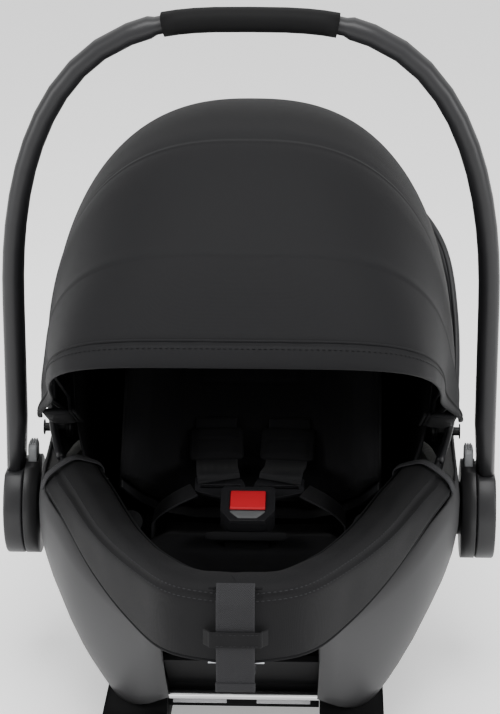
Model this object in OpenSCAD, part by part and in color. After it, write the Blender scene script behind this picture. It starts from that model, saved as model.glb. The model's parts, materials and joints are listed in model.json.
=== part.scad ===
// Infant car seat: a tub-shaped carrier with a swivelling carry handle, a folding hood,
// a height-adjustable headrest, a three-point harness and a rocker base with docking bars.
// Millimetres. X runs across the seat, +Y towards the head end, +Z up from the floor.

/* [Seat shell] */
// Outer width of the tub at its rim
shell_w = 376; // [330:1:384]
// Reach of the rim from the origin towards the feet
foot_reach = 318; // [280:1:360]
// Reach of the rim from the origin towards the head
head_reach = 330; // [290:1:370]
// Height of the rim at the foot end
rim_foot_z = 192; // [180:1:215]
// Height of the rim at the head end
rim_head_z = 392; // [360:1:420]
// Lowest point of the tub's outside
tub_floor_z = 70; // [66:1:80]
// Wall of the tub
shell_t = 4; // [3:0.5:6]

/* [Padding] */
// Thickness of the energy-absorbing foam
foam_t = 9; // [6:0.5:11]
// Thickness of the fabric lining
lining_t = 4; // [2:0.5:5]
// Height of the padded lip above the rim
lip_rise = 16; // [12:1:22]
// Thickness of the headrest's padding
pad_t = 18; // [12:1:22]

/* [Carry handle] */
// Height of the handle pivot above the floor
pivot_z = 153; // [140:1:170]
// Distance from the pivot to the outside of the handle's top
handle_rise = 452; // [430:1:520]
// Thickness of the handle's tube, across the arch
handle_t = 19; // [15:1:21]
// Depth of the handle's tube, along the seat
handle_d = 32; // [26:1:40]
// Radius of the round hubs
hub_r = 45; // [38:1:54]
// Thickness of the handle's own hub
hub_t = 17; // [14:1:20]
// Thickness of the hub housing on the shell
housing_t = 12; // [11:1:15]
// Radius of the pivot axle
axle_r = 8; // [6:0.5:10]
// Length of the soft grip
grip_l = 150; // [120:1:180]

/* [Hood] */
// Radius of the hood about its hinge
hood_r = 302; // [280:1:320]
// Thickness of a hood panel
hood_t = 2.4; // [1.5:0.1:3]
// Width of the padded front rim
rim_band = 22; // [16:1:30]

/* [Base] */
// Gap between the two rockers
rocker_gap = 130; // [110:1:150]
// Width of one rocker
rocker_w = 55; // [45:1:60]
// Radius of the steel docking bars
bar_r = 4; // [3:0.5:6]
// Thickness of the side panels
panel_t = 3; // [2:0.5:4]

/* [Harness] */
// Width of the shoulder and lap webbing
web_w = 38; // [30:1:42]
// Thickness of the webbing
web_t = 1.6; // [1.2:0.1:2.4]
// Width of the adjuster webbing
adjuster_w = 30; // [24:1:36]
// Width of the buckle
buckle_w = 48; // [44:1:56]
// Travel of the release button in the buckle
button_travel = 4; // [2:0.5:5]

/* [Hidden] */
$fn = 48;

gap = 0.5;                 // clearance between fixed pieces
run = 0.05;                // running clearance of a shaft in its bore
shell_hw = shell_w / 2;
rim_h = rim_head_z - rim_foot_z;
floor_pt = [0, 20, tub_floor_z];
pivot_y = 10;

// Plan and height of the tub's rim, right half from the foot end to the head end:
// share of the half width, share of the reach (minus is towards the feet), share of the rim's rise
rim_shares = [[0, -1, 0], [0.26, -0.94, 0], [0.44, -0.785, 0], [0.60, -0.59, 0.01],
    [0.74, -0.35, 0.03], [0.88, -0.10, 0.06], [0.98, 0.14, 0.24], [1, 0.42, 0.54],
    [0.94, 0.66, 0.79], [0.73, 0.885, 0.94], [0.37, 0.975, 0.995], [0, 1, 1]];
rim_pts = [for (p = rim_shares)
    [p[0] * shell_hw, p[1] * (p[1] < 0 ? foot_reach : head_reach), rim_foot_z + p[2] * rim_h]];

function mix(a, b, t) = a + (b - a) * t;
function clamp01(t) = min(1, max(0, t));
function ease(t) = let (c = clamp01(t)) c * c * (3 - 2 * c);
function unit(v) = v / norm(v);
function flip(p) = [-p[0], p[1], p[2]];
function last(v) = v[len(v) - 1];

// A smooth curve through points, at t from 0 to 1
function at(pts, k) = pts[min(len(pts) - 1, max(0, k))];
function curve(pts, t) =
    let (n = len(pts) - 1, s = clamp01(t) * n, i = min(n - 1, floor(s)), f = s - i,
        a = i > 0 ? pts[i - 1] : 2 * pts[0] - pts[1], b = pts[i], c = pts[i + 1],
        d = i < n - 1 ? pts[i + 2] : 2 * pts[n] - pts[n - 1])
    0.5 * (2 * b + (c - a) * f + (2 * a - 5 * b + 4 * c - d) * f * f
        + (3 * b - a - 3 * c + d) * f * f * f);

// The rim as a loop: u runs from -1 to 1 through 0 at the foot end
function rim_at(u) = let (p = curve(rim_pts, abs(u))) u < 0 ? flip(p) : p;
// Outward direction of the rim in plan, straight out at the head end
function rim_out(u) =
    let (a = rim_at(u - 0.004), b = rim_at(u + 0.004))
    abs(u) > 0.98 ? [0, 1, 0] : unit([b[1] - a[1], a[0] - b[0], 0]);

// A point of the tub: u round the rim, h from the floor point (0) to the rim (1), set in by t
function straightness(y) =
    y > 0 ? 0.85 * pow(y / head_reach, 1.2) : 0.35 * pow(-y / foot_reach, 2);
function tub_rise(k, h) = k * h + (1 - k) * (1 - sqrt(max(0, 1 - h * h)));
function tub(u, h, t) =
    let (rim = rim_at(u), plan = unit([rim[0], rim[1] - floor_pt[1], 0]), edge = rim - t * plan)
    [mix(floor_pt[0], edge[0], h), mix(floor_pt[1], edge[1], h),
        mix(floor_pt[2] + t, edge[2], tub_rise(straightness(rim[1]), h))];
// Bearing of a point of the plan about the floor point, 0 at the foot end and 180 at the head end
function bearing(x, y) = atan2(abs(x), floor_pt[1] - y);
function rim_search(a, lo, hi, n) =
    let (m = (lo + hi) / 2, p = rim_at(m))
    n == 0 ? m : bearing(p[0], p[1]) < a ? rim_search(a, m, hi, n - 1) : rim_search(a, lo, m, n - 1);
// Height of the tub's surface, set in by t, over a point of the plan
function tub_z(x, y, t) =
    let (u = rim_search(bearing(x, y), 0, 1, 22), e = tub(u, 1, t),
        h = norm([x, y - floor_pt[1]]) / norm([e[0], e[1] - floor_pt[1]]))
    mix(floor_pt[2] + t, e[2], tub_rise(straightness(rim_at(u)[1]), h));

// Triangles between closed rings of n points each
function ring_faces(m, n) = concat(
    [for (i = [0:m - 2], j = [0:n - 1]) [i * n + j, i * n + (j + 1) % n, (i + 1) * n + (j + 1) % n]],
    [for (i = [0:m - 2], j = [0:n - 1]) [i * n + j, (i + 1) * n + (j + 1) % n, (i + 1) * n + j]]);
function turned(faces) = [for (f = faces) [for (i = [len(f) - 1:-1:0]) f[i]]];
function total(v) = [for (p = v) 1] * v;
// Direction a ring's points turn about
function ring_axis(r) = total([for (i = [1:len(r) - 2]) cross(r[i] - r[0], r[i + 1] - r[0])]);
// A solid through closed rings, capped at both ends
module loft(rings) {
    n = len(rings[0]);
    m = len(rings);
    faces = concat(ring_faces(m, n), [[for (j = [n - 1:-1:0]) j]], [[for (j = [0:n - 1]) (m - 1) * n + j]]);
    along = total(rings[1]) - total(rings[0]);
    polyhedron([for (r = rings) each r], ring_axis(rings[0]) * along > 0 ? turned(faces) : faces,
        convexity = 6);
}
// A solid sheet between two grids of points that share their layout
module sheet(front, back) {
    m = len(front);
    n = len(front[0]);
    far = m * n;
    outer = concat(
        [for (i = [0:m - 2], j = [0:n - 2]) [i * n + j, i * n + j + 1, (i + 1) * n + j + 1]],
        [for (i = [0:m - 2], j = [0:n - 2]) [i * n + j, (i + 1) * n + j + 1, (i + 1) * n + j]]);
    rim = concat([for (j = [0:n - 2]) [j, j + 1]], [for (i = [0:m - 2]) [i * n + n - 1, i * n + 2 * n - 1]],
        [for (j = [0:n - 2]) [far - n + j + 1, far - n + j]], [for (i = [0:m - 2]) [i * n + n, i * n]]);
    faces = concat(outer, turned([for (f = outer) [for (k = f) k + far]]),
        [for (e = rim) [e[1], e[0], e[0] + far]], [for (e = rim) [e[1], e[0] + far, e[1] + far]]);
    up = cross(front[0][1] - front[0][0], front[1][0] - front[0][0]) * (front[0][0] - back[0][0]);
    polyhedron([for (r = concat(front, back)) each r], up > 0 ? turned(faces) : faces, convexity = 6);
}
// A flat strap along a path, its width along the direction across
module ribbon(path, w, t, across = [1, 0, 0]) {
    n = len(path);
    loft([for (i = [0:n - 1])
        let (d = unit(path[min(n - 1, i + 1)] - path[max(0, i - 1)]),
            a = w / 2 * unit(across - (across * d) * d), b = t / 2 * unit(cross(a, d)), p = path[i])
        [p - a - b, p + a - b, p + a + b, p - a + b]]);
}
module both_sides() {
    children();
    mirror([1, 0, 0]) children();
}

// A bowl between two tub surfaces
bowl_n = 56;
bowl_hs = [0.14, 0.32, 0.5, 0.66, 0.79, 0.89, 0.95, 0.985, 1];
function bowl_rings(t) =
    [for (h = bowl_hs) [for (i = [0:bowl_n - 1]) tub(-1 + 2 * i / bowl_n, h, t)]];
module closed_bowl(rings, low, high) {
    n = bowl_n;
    m = len(rings);
    polyhedron(concat([for (r = rings) each r], [low, high]), concat(turned(ring_faces(m, n)),
        [for (j = [0:n - 1]) [j, (j + 1) % n, m * n]],
        [for (j = [0:n - 1]) [(m - 1) * n + (j + 1) % n, (m - 1) * n + j, m * n + 1]]), convexity = 6);
}
module bowl(t0, t1) {
    inner = bowl_rings(t1);
    closed_bowl(concat(bowl_rings(t0), [for (j = [len(inner) - 1:-1:0]) inner[j]]),
        floor_pt + [0, 0, t0], floor_pt + [0, 0, t1]);
}
// Everything inside a tub surface, with a domed top
module tub_block(t) {
    closed_bowl(bowl_rings(t), floor_pt + [0, 0, t], [0, floor_pt[1], rim_head_z]);
}

// Layers inside the tub, measured in from its outside
hood_room = 17;            // room for the hood's feet between the tub and the lining
foam_0 = shell_t + gap;
foam_1 = foam_0 + foam_t;
foam_top = rim_foot_z - 2; // the foam stops just under the lip
lining_0 = shell_t + hood_room;
lining_1 = lining_0 + lining_t;

// Frame on the backrest: s runs up the back, n stands off the lining
back_lo = tub(1, 0.1, lining_1);
back_hi = tub(1, 0.7, lining_1);
back_angle = atan2(back_hi[2] - back_lo[2], back_hi[1] - back_lo[1]);
function on_back_pt(x, s, n) = back_lo + [x, s * cos(back_angle) - n * sin(back_angle),
    s * sin(back_angle) + n * cos(back_angle)];
module on_back(s, n) {
    translate(on_back_pt(0, s, n)) rotate([back_angle, 0, 0]) children();
}

// Harness layout
strap_x = 34;              // half the distance between the shoulder straps
strap_s = 92;              // height of the straps up the back, headrest lowest
lift = 75;                 // travel of the headrest
crotch_y = -84;
slot_d = 7;                // width of a strap's slot
lap_x = 86;
lap_y = -22;
// Windows for the shoulder straps over the headrest's travel, one each side of a middle web
module strap_windows(depth) {
    for (x = [-1, 1]) on_back(strap_s - 8, -depth) translate([x * strap_x - web_w / 2 - 1, 0, 0])
        cube([web_w + 2, lift + 22, depth + 12]);
}
module crotch_slot() {
    translate([-web_w / 2 - 1, crotch_y - slot_d / 2, tub_floor_z]) cube([web_w + 2, slot_d, 60]);
}
module lap_slots() {
    for (x = [-1, 1]) translate([x * lap_x - slot_d / 2, lap_y - web_w / 2 - 1, tub_floor_z])
        cube([slot_d, web_w + 2, 110]);
}

module seat_shell() {
    color("#1b1b1d") difference() {
        bowl(0, shell_t);
        strap_windows(60);
        crotch_slot();
        lap_slots();
        for (p = screw_spots, x = [-1, 1]) translate([x * p[0], p[1], 0])
            cylinder(r = screw_r + run, h = tub_z(p[0], p[1], shell_t) + 10);
        both_sides() hinge_bore();
    }
}
module foam_liner() {
    color("#2a2a2c") difference() {
        bowl(foam_0, foam_1);
        translate([-300, -400, foam_top]) cube([600, 800, 400]);
        strap_windows(40);
        crotch_slot();
        lap_slots();
    }
}
module seat_cover() {
    color("#1d1d20") difference() {
        bowl(lining_0, lining_1);
        strap_windows(20);
        crotch_slot();
        lap_slots();
        translate([-300, hinge_y, hinge_z]) rotate([179 - last(rib_angle), 0, 0])
            cube([600, 500, 300]);
    }
}

// Padded lip over the foot half of the rim
lip_end = 0.445;           // how far round the rim the lip runs
function lip_front(u) = 1 - ease(abs(u) / 0.22);
function lip_side(u, from, to) = ease((abs(u) - from) / (to - from));
function lip_in(u) = mix(28, 48, lip_front(u));
function lip_out(u) = mix(6, 21, lip_side(u, 0.12, 0.445));
function lip_drop(u) = mix(44, 4, lip_side(u, 0.1, 0.445));
lip_skin = 4.5;
lip_seat = 1.2;            // clearance over the rim
function lip_low(u) = rim_at(u) + rim_out(u) * lip_out(u) - [0, 0, lip_drop(u)];
function lip_ring(u) =
    let (p = rim_at(u), n = rim_out(u), z = [0, 0, 1], low = lip_low(u))
    [p - n * lip_in(u) + z * (lip_rise - 9), p - n * (lip_in(u) * 0.6) + z * (lip_rise - 2),
        p - n * 3 + z * lip_rise, p + n * (lip_out(u) * 0.6 + 1.5) + z * (lip_rise * 0.25),
        low, low - n * lip_skin, p + n * 1.2 + z * lip_seat, p - n * lip_in(u) + z * lip_seat];
// Loop at the foot end that keeps the tail of the adjuster webbing
keeper_z = [rim_foot_z - 42, rim_foot_z - 26];
module tail_keeper() {
    h = keeper_z[1] - keeper_z[0];
    difference() {
        translate([-adjuster_w / 2 - 5, tail_y - 4, keeper_z[0]]) cube([adjuster_w + 10, 9, h]);
        translate([-adjuster_w / 2 - 1.5, tail_y - 1.6, keeper_z[0] - 1]) cube([adjuster_w + 3, 3.2, h + 2]);
    }
}
module lip_pad() {
    color("#1d1d20") {
        loft([for (i = [0:48]) lip_ring(mix(-lip_end, lip_end, i / 48))]);
        tail_keeper();
    }
}

// Rocker base
rocker_in = rocker_gap / 2;
rocker_out = rocker_in + rocker_w;
foot_pad_t = 2;
rail_top = 60;
// Side outline of a rocker's shoe: along the seat, up
shoe_top = 30;
shoe_outline = [[-172, shoe_top], [-152, 16], [-122, 6], [-86, foot_pad_t], [156, foot_pad_t], [198, 6],
    [230, 16], [248, shoe_top]];
// Plan of the rocker's core, which stands on the shoe inside the side panel
core_plan = [[0, -164], [18, -160], [30, -148], [42, -122], [46, -95], [46, 150], [38, 200], [22, 236],
    [0, 256]];
bar_front = [-155, 42];    // along the seat, up
bar_rear = [242, 44];
bar_hold = 12;             // length of bar held in each rocker
screw_r = 2.5;
screw_head_r = 5;
pillar_r = 9;
screw_z = 40;              // the screw heads sit this far up their holes
screw_spots = [[rocker_in + 20, -62], [rocker_in + 20, 76]];
module base_rail() {
    color("#19191b") difference() {
        union() {
            translate([rocker_in, 0, 0]) rotate([90, 0, 90]) linear_extrude(rocker_w)
                polygon(shoe_outline);
            translate([rocker_in, 0, shoe_top - 1]) linear_extrude(rail_top - shoe_top + 1)
                polygon(core_plan);
            for (p = screw_spots) translate([p[0], p[1], rail_top - 1])
                cylinder(r = pillar_r, h = tub_z(p[0], p[1], 0) + 8 - rail_top);
        }
        tub_block(-0.4);
        for (b = [bar_front, bar_rear]) translate([rocker_in - 1, b[0], b[1]])
            rotate([0, 90, 0]) cylinder(r = bar_r + run, h = bar_hold + 1 + gap);
        for (p = screw_spots) translate([p[0], p[1], 0]) {
            cylinder(r = screw_head_r + 1, h = screw_z);
            cylinder(r = screw_r + run, h = 200);
        }
    }
}
module screws() {
    color("#9a9da1") both_sides() for (p = screw_spots) translate([p[0], p[1], 0]) {
        translate([0, 0, screw_z - 3]) cylinder(r = screw_head_r, h = 3);
        translate([0, 0, screw_z - 1]) cylinder(r = screw_r, h = tub_z(p[0], p[1], 0) + shell_t - 1 - screw_z);
    }
}
module docking_bar(b) {
    color("#c9ccd0") translate([-rocker_in - bar_hold, b[0], b[1]]) rotate([0, 90, 0])
        cylinder(r = bar_r, h = rocker_gap + 2 * bar_hold);
}
module foot_pads() {
    color("#101012") for (x = [-1, 1], y = [-60, 130])
        translate([x * (rocker_in + rocker_w / 2) - 9, y - 12, 0]) cube([18, 24, foot_pad_t]);
}
// Tray with an apron that rises towards the lip, and a fascia that carries the plates
tray_z = 50;
apron_top = tub_z(0, -204, 0) - 17;
fascia_y = -148;
apron = [[-208, apron_top - 4], [-204, apron_top], [fascia_y + 3, tray_z + 4], [228, tray_z + 4],
    [228, tray_z], [fascia_y + 4, tray_z], [fascia_y + 4, 28], [fascia_y, 28], [fascia_y, tray_z]];
module base_pan() {
    color("#161618") translate([-rocker_in + gap, 0, 0]) rotate([90, 0, 90])
        linear_extrude(rocker_gap - 2 * gap) polygon(apron);
}
plate = [46, 0.6, 12];
module label_plates() {
    color("#8d9094") for (x = [-38, 34]) translate([x - plate[0] / 2, fascia_y - plate[1], 31]) cube(plate);
}

// Side panels: upper and lower edge, from the foot end to the head end
panel_top = [[65, -244, 140], [94, -214, 149], [118, -180, 159], [141, -142, 170], [160, -102, 181],
    [177, -66, 188], [185, -25, 193], [186, 30, 197], [184, 84, 210], [172, 132, 226],
    [150, 172, 234], [116, 200, 236], [66, 216, 236]];
panel_low = [[65, -172, 46], [84, -166, 37], [100, -154, 33], [114, -128, 31], [121, -92, 31],
    [123, -55, 31], [124, -20, 31], [125, 30, 31], [125, 90, 31], [124, 150, 33], [116, 200, 41],
    [98, 240, 54], [66, 262, 68]];
function panel_fit(p) = [max(rocker_in, p[0] * (p[0] > 126 ? shell_hw / 188 : 1)),
    p[1] * (p[1] < 0 ? foot_reach / 318 : head_reach / 330), p[2]];
panel_hi = [for (p = panel_top) let (q = panel_fit(p + [0, 0, rim_foot_z - 192]))
    [q[0], q[1], q[1] > 100 ? min(q[2], tub_z(q[0], q[1], 0) - 5) : q[2]]];
panel_lo = [for (p = panel_low) [p[0] + rocker_out - 120, p[1], p[2]]];
function panel_out(u) =
    let (a = curve(panel_hi, u - 0.02), b = curve(panel_hi, u + 0.02)) unit([b[1] - a[1], a[0] - b[0], 0]);
function panel_bulge(u) = 2 + 19 * sin(180 * pow(clamp01(u), 0.75));
function panel_pt(u, v, t) =
    mix(curve(panel_lo, u), curve(panel_hi, u), v)
        + panel_out(u) * (panel_bulge(u) * 4 * v * (1 - v) * (0.75 + 0.5 * v) - t);
module side_panel() {
    us = [for (i = [0:30]) i / 30];
    vs = [for (j = [0:9]) j / 9];
    color("#4a4a4c") difference() {
        sheet([for (u = us) [for (v = vs) panel_pt(u, v, 0)]],
            [for (u = us) [for (v = vs) panel_pt(u, v, panel_t)]]);
        translate([100, pivot_y, pivot_z]) rotate([0, 90, 0]) cylinder(r = boss_r + gap, h = 100);
    }
}

// Carry handle
arm_out = shell_hw + 32;                 // outer face of the handle's arms
arm_x = arm_out - handle_t / 2;
handle_top = pivot_z + handle_rise - handle_t / 2;
hub_x0 = arm_out - hub_t;                // inner face of the handle's hub
housing_x1 = hub_x0 - 0.8;
housing_x0 = housing_x1 - housing_t;
boss_r = 24;                             // neck between the housing and the tub
arch_spring = pivot_z + 190;             // where the arch leaves the straight arms
arch_k = 2 / 3.1;                        // squareness of the arch
// Centre line of the arch, a from 0 (right) to 180 (left)
function arch(a) =
    let (c = cos(a), s = sin(a))
    [arm_x * sign(c) * pow(abs(c), arch_k), pivot_y,
        arch_spring + (handle_top - arch_spring) * pow(abs(s), 2 / 2.25)];
tube_n = 16;
function oval(c, right, wide, deep) =
    [for (i = [0:tube_n - 1]) let (a = 360 * i / tube_n, p = 2 / 2.6,
        x = sign(cos(a)) * pow(abs(cos(a)), p), y = sign(sin(a)) * pow(abs(sin(a)), p))
        c + right * x * wide / 2 + [0, y * deep / 2, 0]];
function arch_ring(a, wide, deep) =
    let (t = unit(arch(min(180, a + 1.5)) - arch(max(0, a - 1.5))),
        right = a == 0 ? [1, 0, 0] : a == 180 ? [-1, 0, 0] : [t[2], 0, -t[0]])
    oval(arch(a), right, wide, deep);
hub_flat = hub_r - 7;                    // the arm meets the hub this far over the pivot
arm_low = pivot_z + hub_flat;
grip_a = acos(pow(grip_l / 2 / arm_x, 1 / arch_k));   // where the grip starts
half_steps = [0, 4, 9, 14, 20, 26, 32, 39, 46, 54, 62, grip_a - 8, grip_a - 3, grip_a - 1.5];
grip_steps = [for (i = [0:8]) mix(grip_a, 180 - grip_a, i / 8)];
arch_steps = concat(half_steps, grip_steps, [for (i = [len(half_steps) - 1:-1:0]) 180 - half_steps[i]]);
neck = 4;                                // the tube is thinner under the grip by this much
function is_neck(a) = abs(a - 90) < 92 - grip_a;
module handle_frame() {
    low = [arm_out - (hub_t - gap) / 2, pivot_y, arm_low];
    mid = [arm_x, pivot_y, arm_low + 44];
    color("#2b2b2d") loft(concat(
        [oval(low, [1, 0, 0], hub_t - gap, handle_d + 12), oval(mid, [1, 0, 0], handle_t, handle_d)],
        [for (a = arch_steps) arch_ring(a, handle_t - (is_neck(a) ? neck : 0),
            handle_d - (is_neck(a) ? neck : 0))],
        [oval(flip(mid), [-1, 0, 0], handle_t, handle_d),
            oval(flip(low), [-1, 0, 0], hub_t - gap, handle_d + 12)]));
}
grip_t = 2.4;
module handle_grip() {
    hug = neck - 2 * gap;
    rings = concat(
        [for (a = grip_steps) arch_ring(a, handle_t - hug + 2 * grip_t, handle_d - hug + 2 * grip_t)],
        [for (i = [len(grip_steps) - 1:-1:0]) arch_ring(grip_steps[i], handle_t - hug, handle_d - hug)]);
    m = len(rings);
    n = tube_n;
    color("#222224") polyhedron([for (r = rings) each r], turned(concat(ring_faces(m, n),
        [for (j = [0:n - 1]) [(m - 1) * n + j, (m - 1) * n + (j + 1) % n, (j + 1) % n]],
        [for (j = [0:n - 1]) [(m - 1) * n + j, (j + 1) % n, j]])), convexity = 6);
}
// Hub: x runs up from the hub's inner face
module at_hub(x) {
    translate([x, pivot_y, pivot_z]) rotate([90, 0, 90]) children();
}
ring_r = 31;                             // detent ring
ring_t = 5.5;
ring_w = 4.4;
module handle_hub() {
    root = handle_d / 2 + 6;
    color("#232325") at_hub(hub_x0) difference() {
        linear_extrude(hub_t) difference() {
            union() {
                circle(r = hub_r);
                polygon([[-hub_r, 0], [hub_r, 0], [root, hub_flat], [-root, hub_flat]]);
            }
            translate([-100, hub_flat - gap]) square([200, 100]);
        }
        translate([0, 0, -1]) cylinder(r = axle_r + run, h = hub_t - 3);
        translate([0, 0, -1]) cylinder(r = ring_r + run, h = ring_t + gap + 1);
    }
}
// Notched ring that the lock bolt holds, one in each hub
notch_w = 10;
handle_stops = [0, 55, 105];
module detent_rings() {
    color("#8f9296") both_sides() at_hub(hub_x0 + 0.2) difference() {
        cylinder(r = ring_r, h = ring_t);
        translate([0, 0, -1]) cylinder(r = ring_r - ring_w, h = ring_t + 2);
        for (a = handle_stops) rotate([0, 0, a]) translate([-notch_w / 2, 0, -1])
            cube([notch_w, ring_r - 2, ring_t + 2]);
    }
}
module handle_axles() {
    color("#b8babd") both_sides() at_hub(housing_x0 + 2) cylinder(r = axle_r, h = hub_x0 + hub_t - 6 - housing_x0);
}
// Fixed housing on the shell, with the well for the lock bolt and its button
button_w = 22;
module hub_housing() {
    color("#1e1e20") difference() {
        union() {
            at_hub(housing_x0) cylinder(r = hub_r, h = housing_t);
            at_hub(housing_x0 - 60) cylinder(r = boss_r, h = 61);
        }
        tub_block(-0.6);
        at_hub(housing_x0 + 1.5) cylinder(r = axle_r + run, h = housing_t);
        at_hub(housing_x0 + 3) translate([-notch_w / 2 - run, axle_r + 2, 0])
            cube([notch_w + 2 * run, hub_r, housing_t]);
        at_hub(housing_x0 + 1.5) translate([-button_w / 2 - 0.1, hub_r - 9, 0])
            cube([button_w + 0.2, 20, housing_t - 3]);
    }
}
// Grey release button on top of each housing
button_z = hub_r - 3;
button_h = 17;
module release_button() {
    t = housing_t - 4;
    color("#8b8e91") at_hub(housing_x0 + 2) translate([-button_w / 2, button_z, 0])
        linear_extrude(t) polygon([[0, 0], [button_w, 0], [button_w, button_h - 4], [button_w - 4, button_h],
            [4, button_h], [0, button_h - 4]]);
}
bolt_x = 3.5;
bolt_t = 5;
bolt_low = axle_r + 12;
module lock_bolt() {
    w = notch_w - 0.2;
    color("#9a9da1") at_hub(housing_x0 + bolt_x) {
        translate([-w / 2, bolt_low, 0]) cube([w, button_z - bolt_low, bolt_t]);
        translate([-w / 2, ring_r - 10, bolt_t - 1]) cube([w, 5, hub_x0 + 3 - housing_x0 - bolt_x - bolt_t + 1]);
    }
}
// Coil spring between the floor of the well and the bolt
spring_turns = 3;
spring_r = 2.7;
wire_r = 0.45;
module button_spring() {
    x = housing_x0 + 6.6;
    lo = pivot_z + axle_r + 2.6;
    hi = pivot_z + bolt_low - 0.6;
    color("#b8babd") loft([for (i = [0:30]) let (a = 360 * spring_turns * i / 30,
        c = [x + spring_r * cos(a), pivot_y + spring_r * sin(a), mix(lo, hi, i / 30)])
        [for (b = [0:72:359]) c + wire_r * (cos(b) * [cos(a), sin(a), 0] + sin(b) * [0, 0, 1])]]);
}

// Hood: three nested panels about one hinge line, the front one outermost
hinge_y = 40;
hinge_z = 216;
layer = hood_t + 0.8;
rib_angle = [27.8, 46, 72.7, 149];
rib_n = [5.5, 3.4, 2.7, 2.45, 3.3];
hub_clear = 66;            // the panels stop this far from the hinge line
// Half width at an angle about the hinge: the rear tucks inside the shell
function hood_hw(a) = mix(shell_hw, shell_hw - shell_t - 5, ease((a - 116) / 20));
// Squareness of the hood's profile at an angle about the hinge
function hood_n(a) =
    a < rib_angle[1] ? mix(rib_n[0], rib_n[1], (a - rib_angle[0]) / (rib_angle[1] - rib_angle[0]))
    : a < rib_angle[2] ? mix(rib_n[1], rib_n[2], (a - rib_angle[1]) / (rib_angle[2] - rib_angle[1]))
    : a < 110 ? mix(rib_n[2], rib_n[3], (a - rib_angle[2]) / (110 - rib_angle[2]))
    : mix(rib_n[3], rib_n[4], ease((a - 110) / 36));
// A point of the hood: angle about the hinge, f round the profile (0 right, 180 left), d set in
function hood_pt(a, f, d) =
    let (n = hood_n(a), r = (hood_r - d) * pow(sin(f), 2 / n))
    [(hood_hw(a) - d) * sign(cos(f)) * pow(abs(cos(f)), 2 / n), hinge_y - r * cos(a),
        hinge_z + r * sin(a)];
function hood_row(a, d, k, clear) =
    let (f0 = asin(pow(clear / hood_r, hood_n(a) / 2))) [for (j = [0:k]) hood_pt(a, mix(f0, 180 - f0, j / k), d)];
module hood_panel(a0, a1, d, cols) {
    sheet([for (i = [0:cols]) hood_row(mix(a0, a1, i / cols), d, 26, hub_clear)],
        [for (i = [0:cols]) hood_row(mix(a0, a1, i / cols), d + hood_t, 26, hub_clear)]);
}
rim_deg = rim_band / hood_r * 57.3;
slack = 0.4;               // degrees between neighbouring pieces of the hood
module canopy_panel_front() {
    color("#202022") hood_panel(rib_angle[0] + rim_deg + slack, rib_angle[1] - slack, 0, 3);
}
module canopy_panel_mid() {
    color("#202022") hood_panel(rib_angle[1] + 1.5 + slack, rib_angle[2] - slack, layer, 5);
}
module canopy_panel_rear() {
    color("#202022") hood_panel(rib_angle[2] + 1.5 + slack, rib_angle[3], 2 * layer, 10);
}
// Hoops: a band of the hood with legs down to an eye on the hinge line
eye_r = 9;
module hoop(a0, a1, d0, d1, eye_x) {
    rows = [for (a = [a0, a1], d = [d0, d1]) hood_row(a, d, 32, hub_clear - 6)];
    loft([for (j = [0:32]) [rows[0][j], rows[2][j], rows[3][j], rows[1][j]]]);
    both_sides() {
        a = (a0 + a1) / 2;
        leg_t = d1 - d0;
        top = rows[0][0][0];
        loft([for (q = [[0, eye_x], [34, eye_x], [hub_clear - 5, top - leg_t]])
            let (c = [q[1], hinge_y - q[0] * cos(a), hinge_z + q[0] * sin(a)], v = [0, sin(a), cos(a)] * 2.2)
            [c - v, c + [leg_t, 0, 0] - v, c + [leg_t, 0, 0] + v, c + v]]);
        translate([eye_x, hinge_y, hinge_z]) rotate([0, 90, 0]) cylinder(r = eye_r, h = leg_t);
    }
}
module eyed_hoop(a0, a1, d0, d1, eye_x) {
    difference() {
        hoop(a0, a1, d0, d1, eye_x);
        translate([-300, hinge_y, hinge_z]) rotate([0, 90, 0]) cylinder(r = pin_r + run, h = 600);
    }
}
pin_r = 4;
wall_x = shell_hw - 14;    // inner face of the shell beside the hinge, less the pin's washer
module canopy_rim() {
    color("#1a1a1c") eyed_hoop(rib_angle[0], rib_angle[0] + rim_deg, -1.5, hood_t, wall_x - 4.2);
}
module canopy_hoop_mid() {
    color("#1a1a1c") eyed_hoop(rib_angle[1], rib_angle[1] + 1.5, layer, layer + hood_t, wall_x - 7);
}
module canopy_hoop_rear() {
    color("#1a1a1c") eyed_hoop(rib_angle[2], rib_angle[2] + 1.5, 2 * layer, 2 * layer + hood_t, wall_x - 9.8);
}
module hinge_bore() {
    translate([wall_x - 20, hinge_y, hinge_z]) rotate([0, 90, 0]) cylinder(r = pin_r + run, h = 60);
}
module canopy_pivots() {
    color("#2b2b2d") both_sides() {
        translate([wall_x - 10.5, hinge_y, hinge_z]) rotate([0, 90, 0]) cylinder(r = pin_r, h = shell_hw - wall_x + 12);
        translate([shell_hw + 1, hinge_y, hinge_z]) rotate([0, 90, 0]) cylinder(r = 7, h = 1);
    }
}

// Headrest: a winged shell that slides up the back, its padding and its catch
rest_len = 190;
rest_n = 8;                // the headrest's back stands this far off the lining
rest_t = 4;
wing = [[0, 0], [52, 0], [84, 12], [104, 34], [119, 64]];
wing_in = [[115.5, 66], [100.5, 36], [81.5, 15.5], [51, rest_t], [0, rest_t]];
function flipped(pts) = [for (i = [len(pts) - 1:-1:0]) [-pts[i][0], pts[i][1]]];
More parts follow.
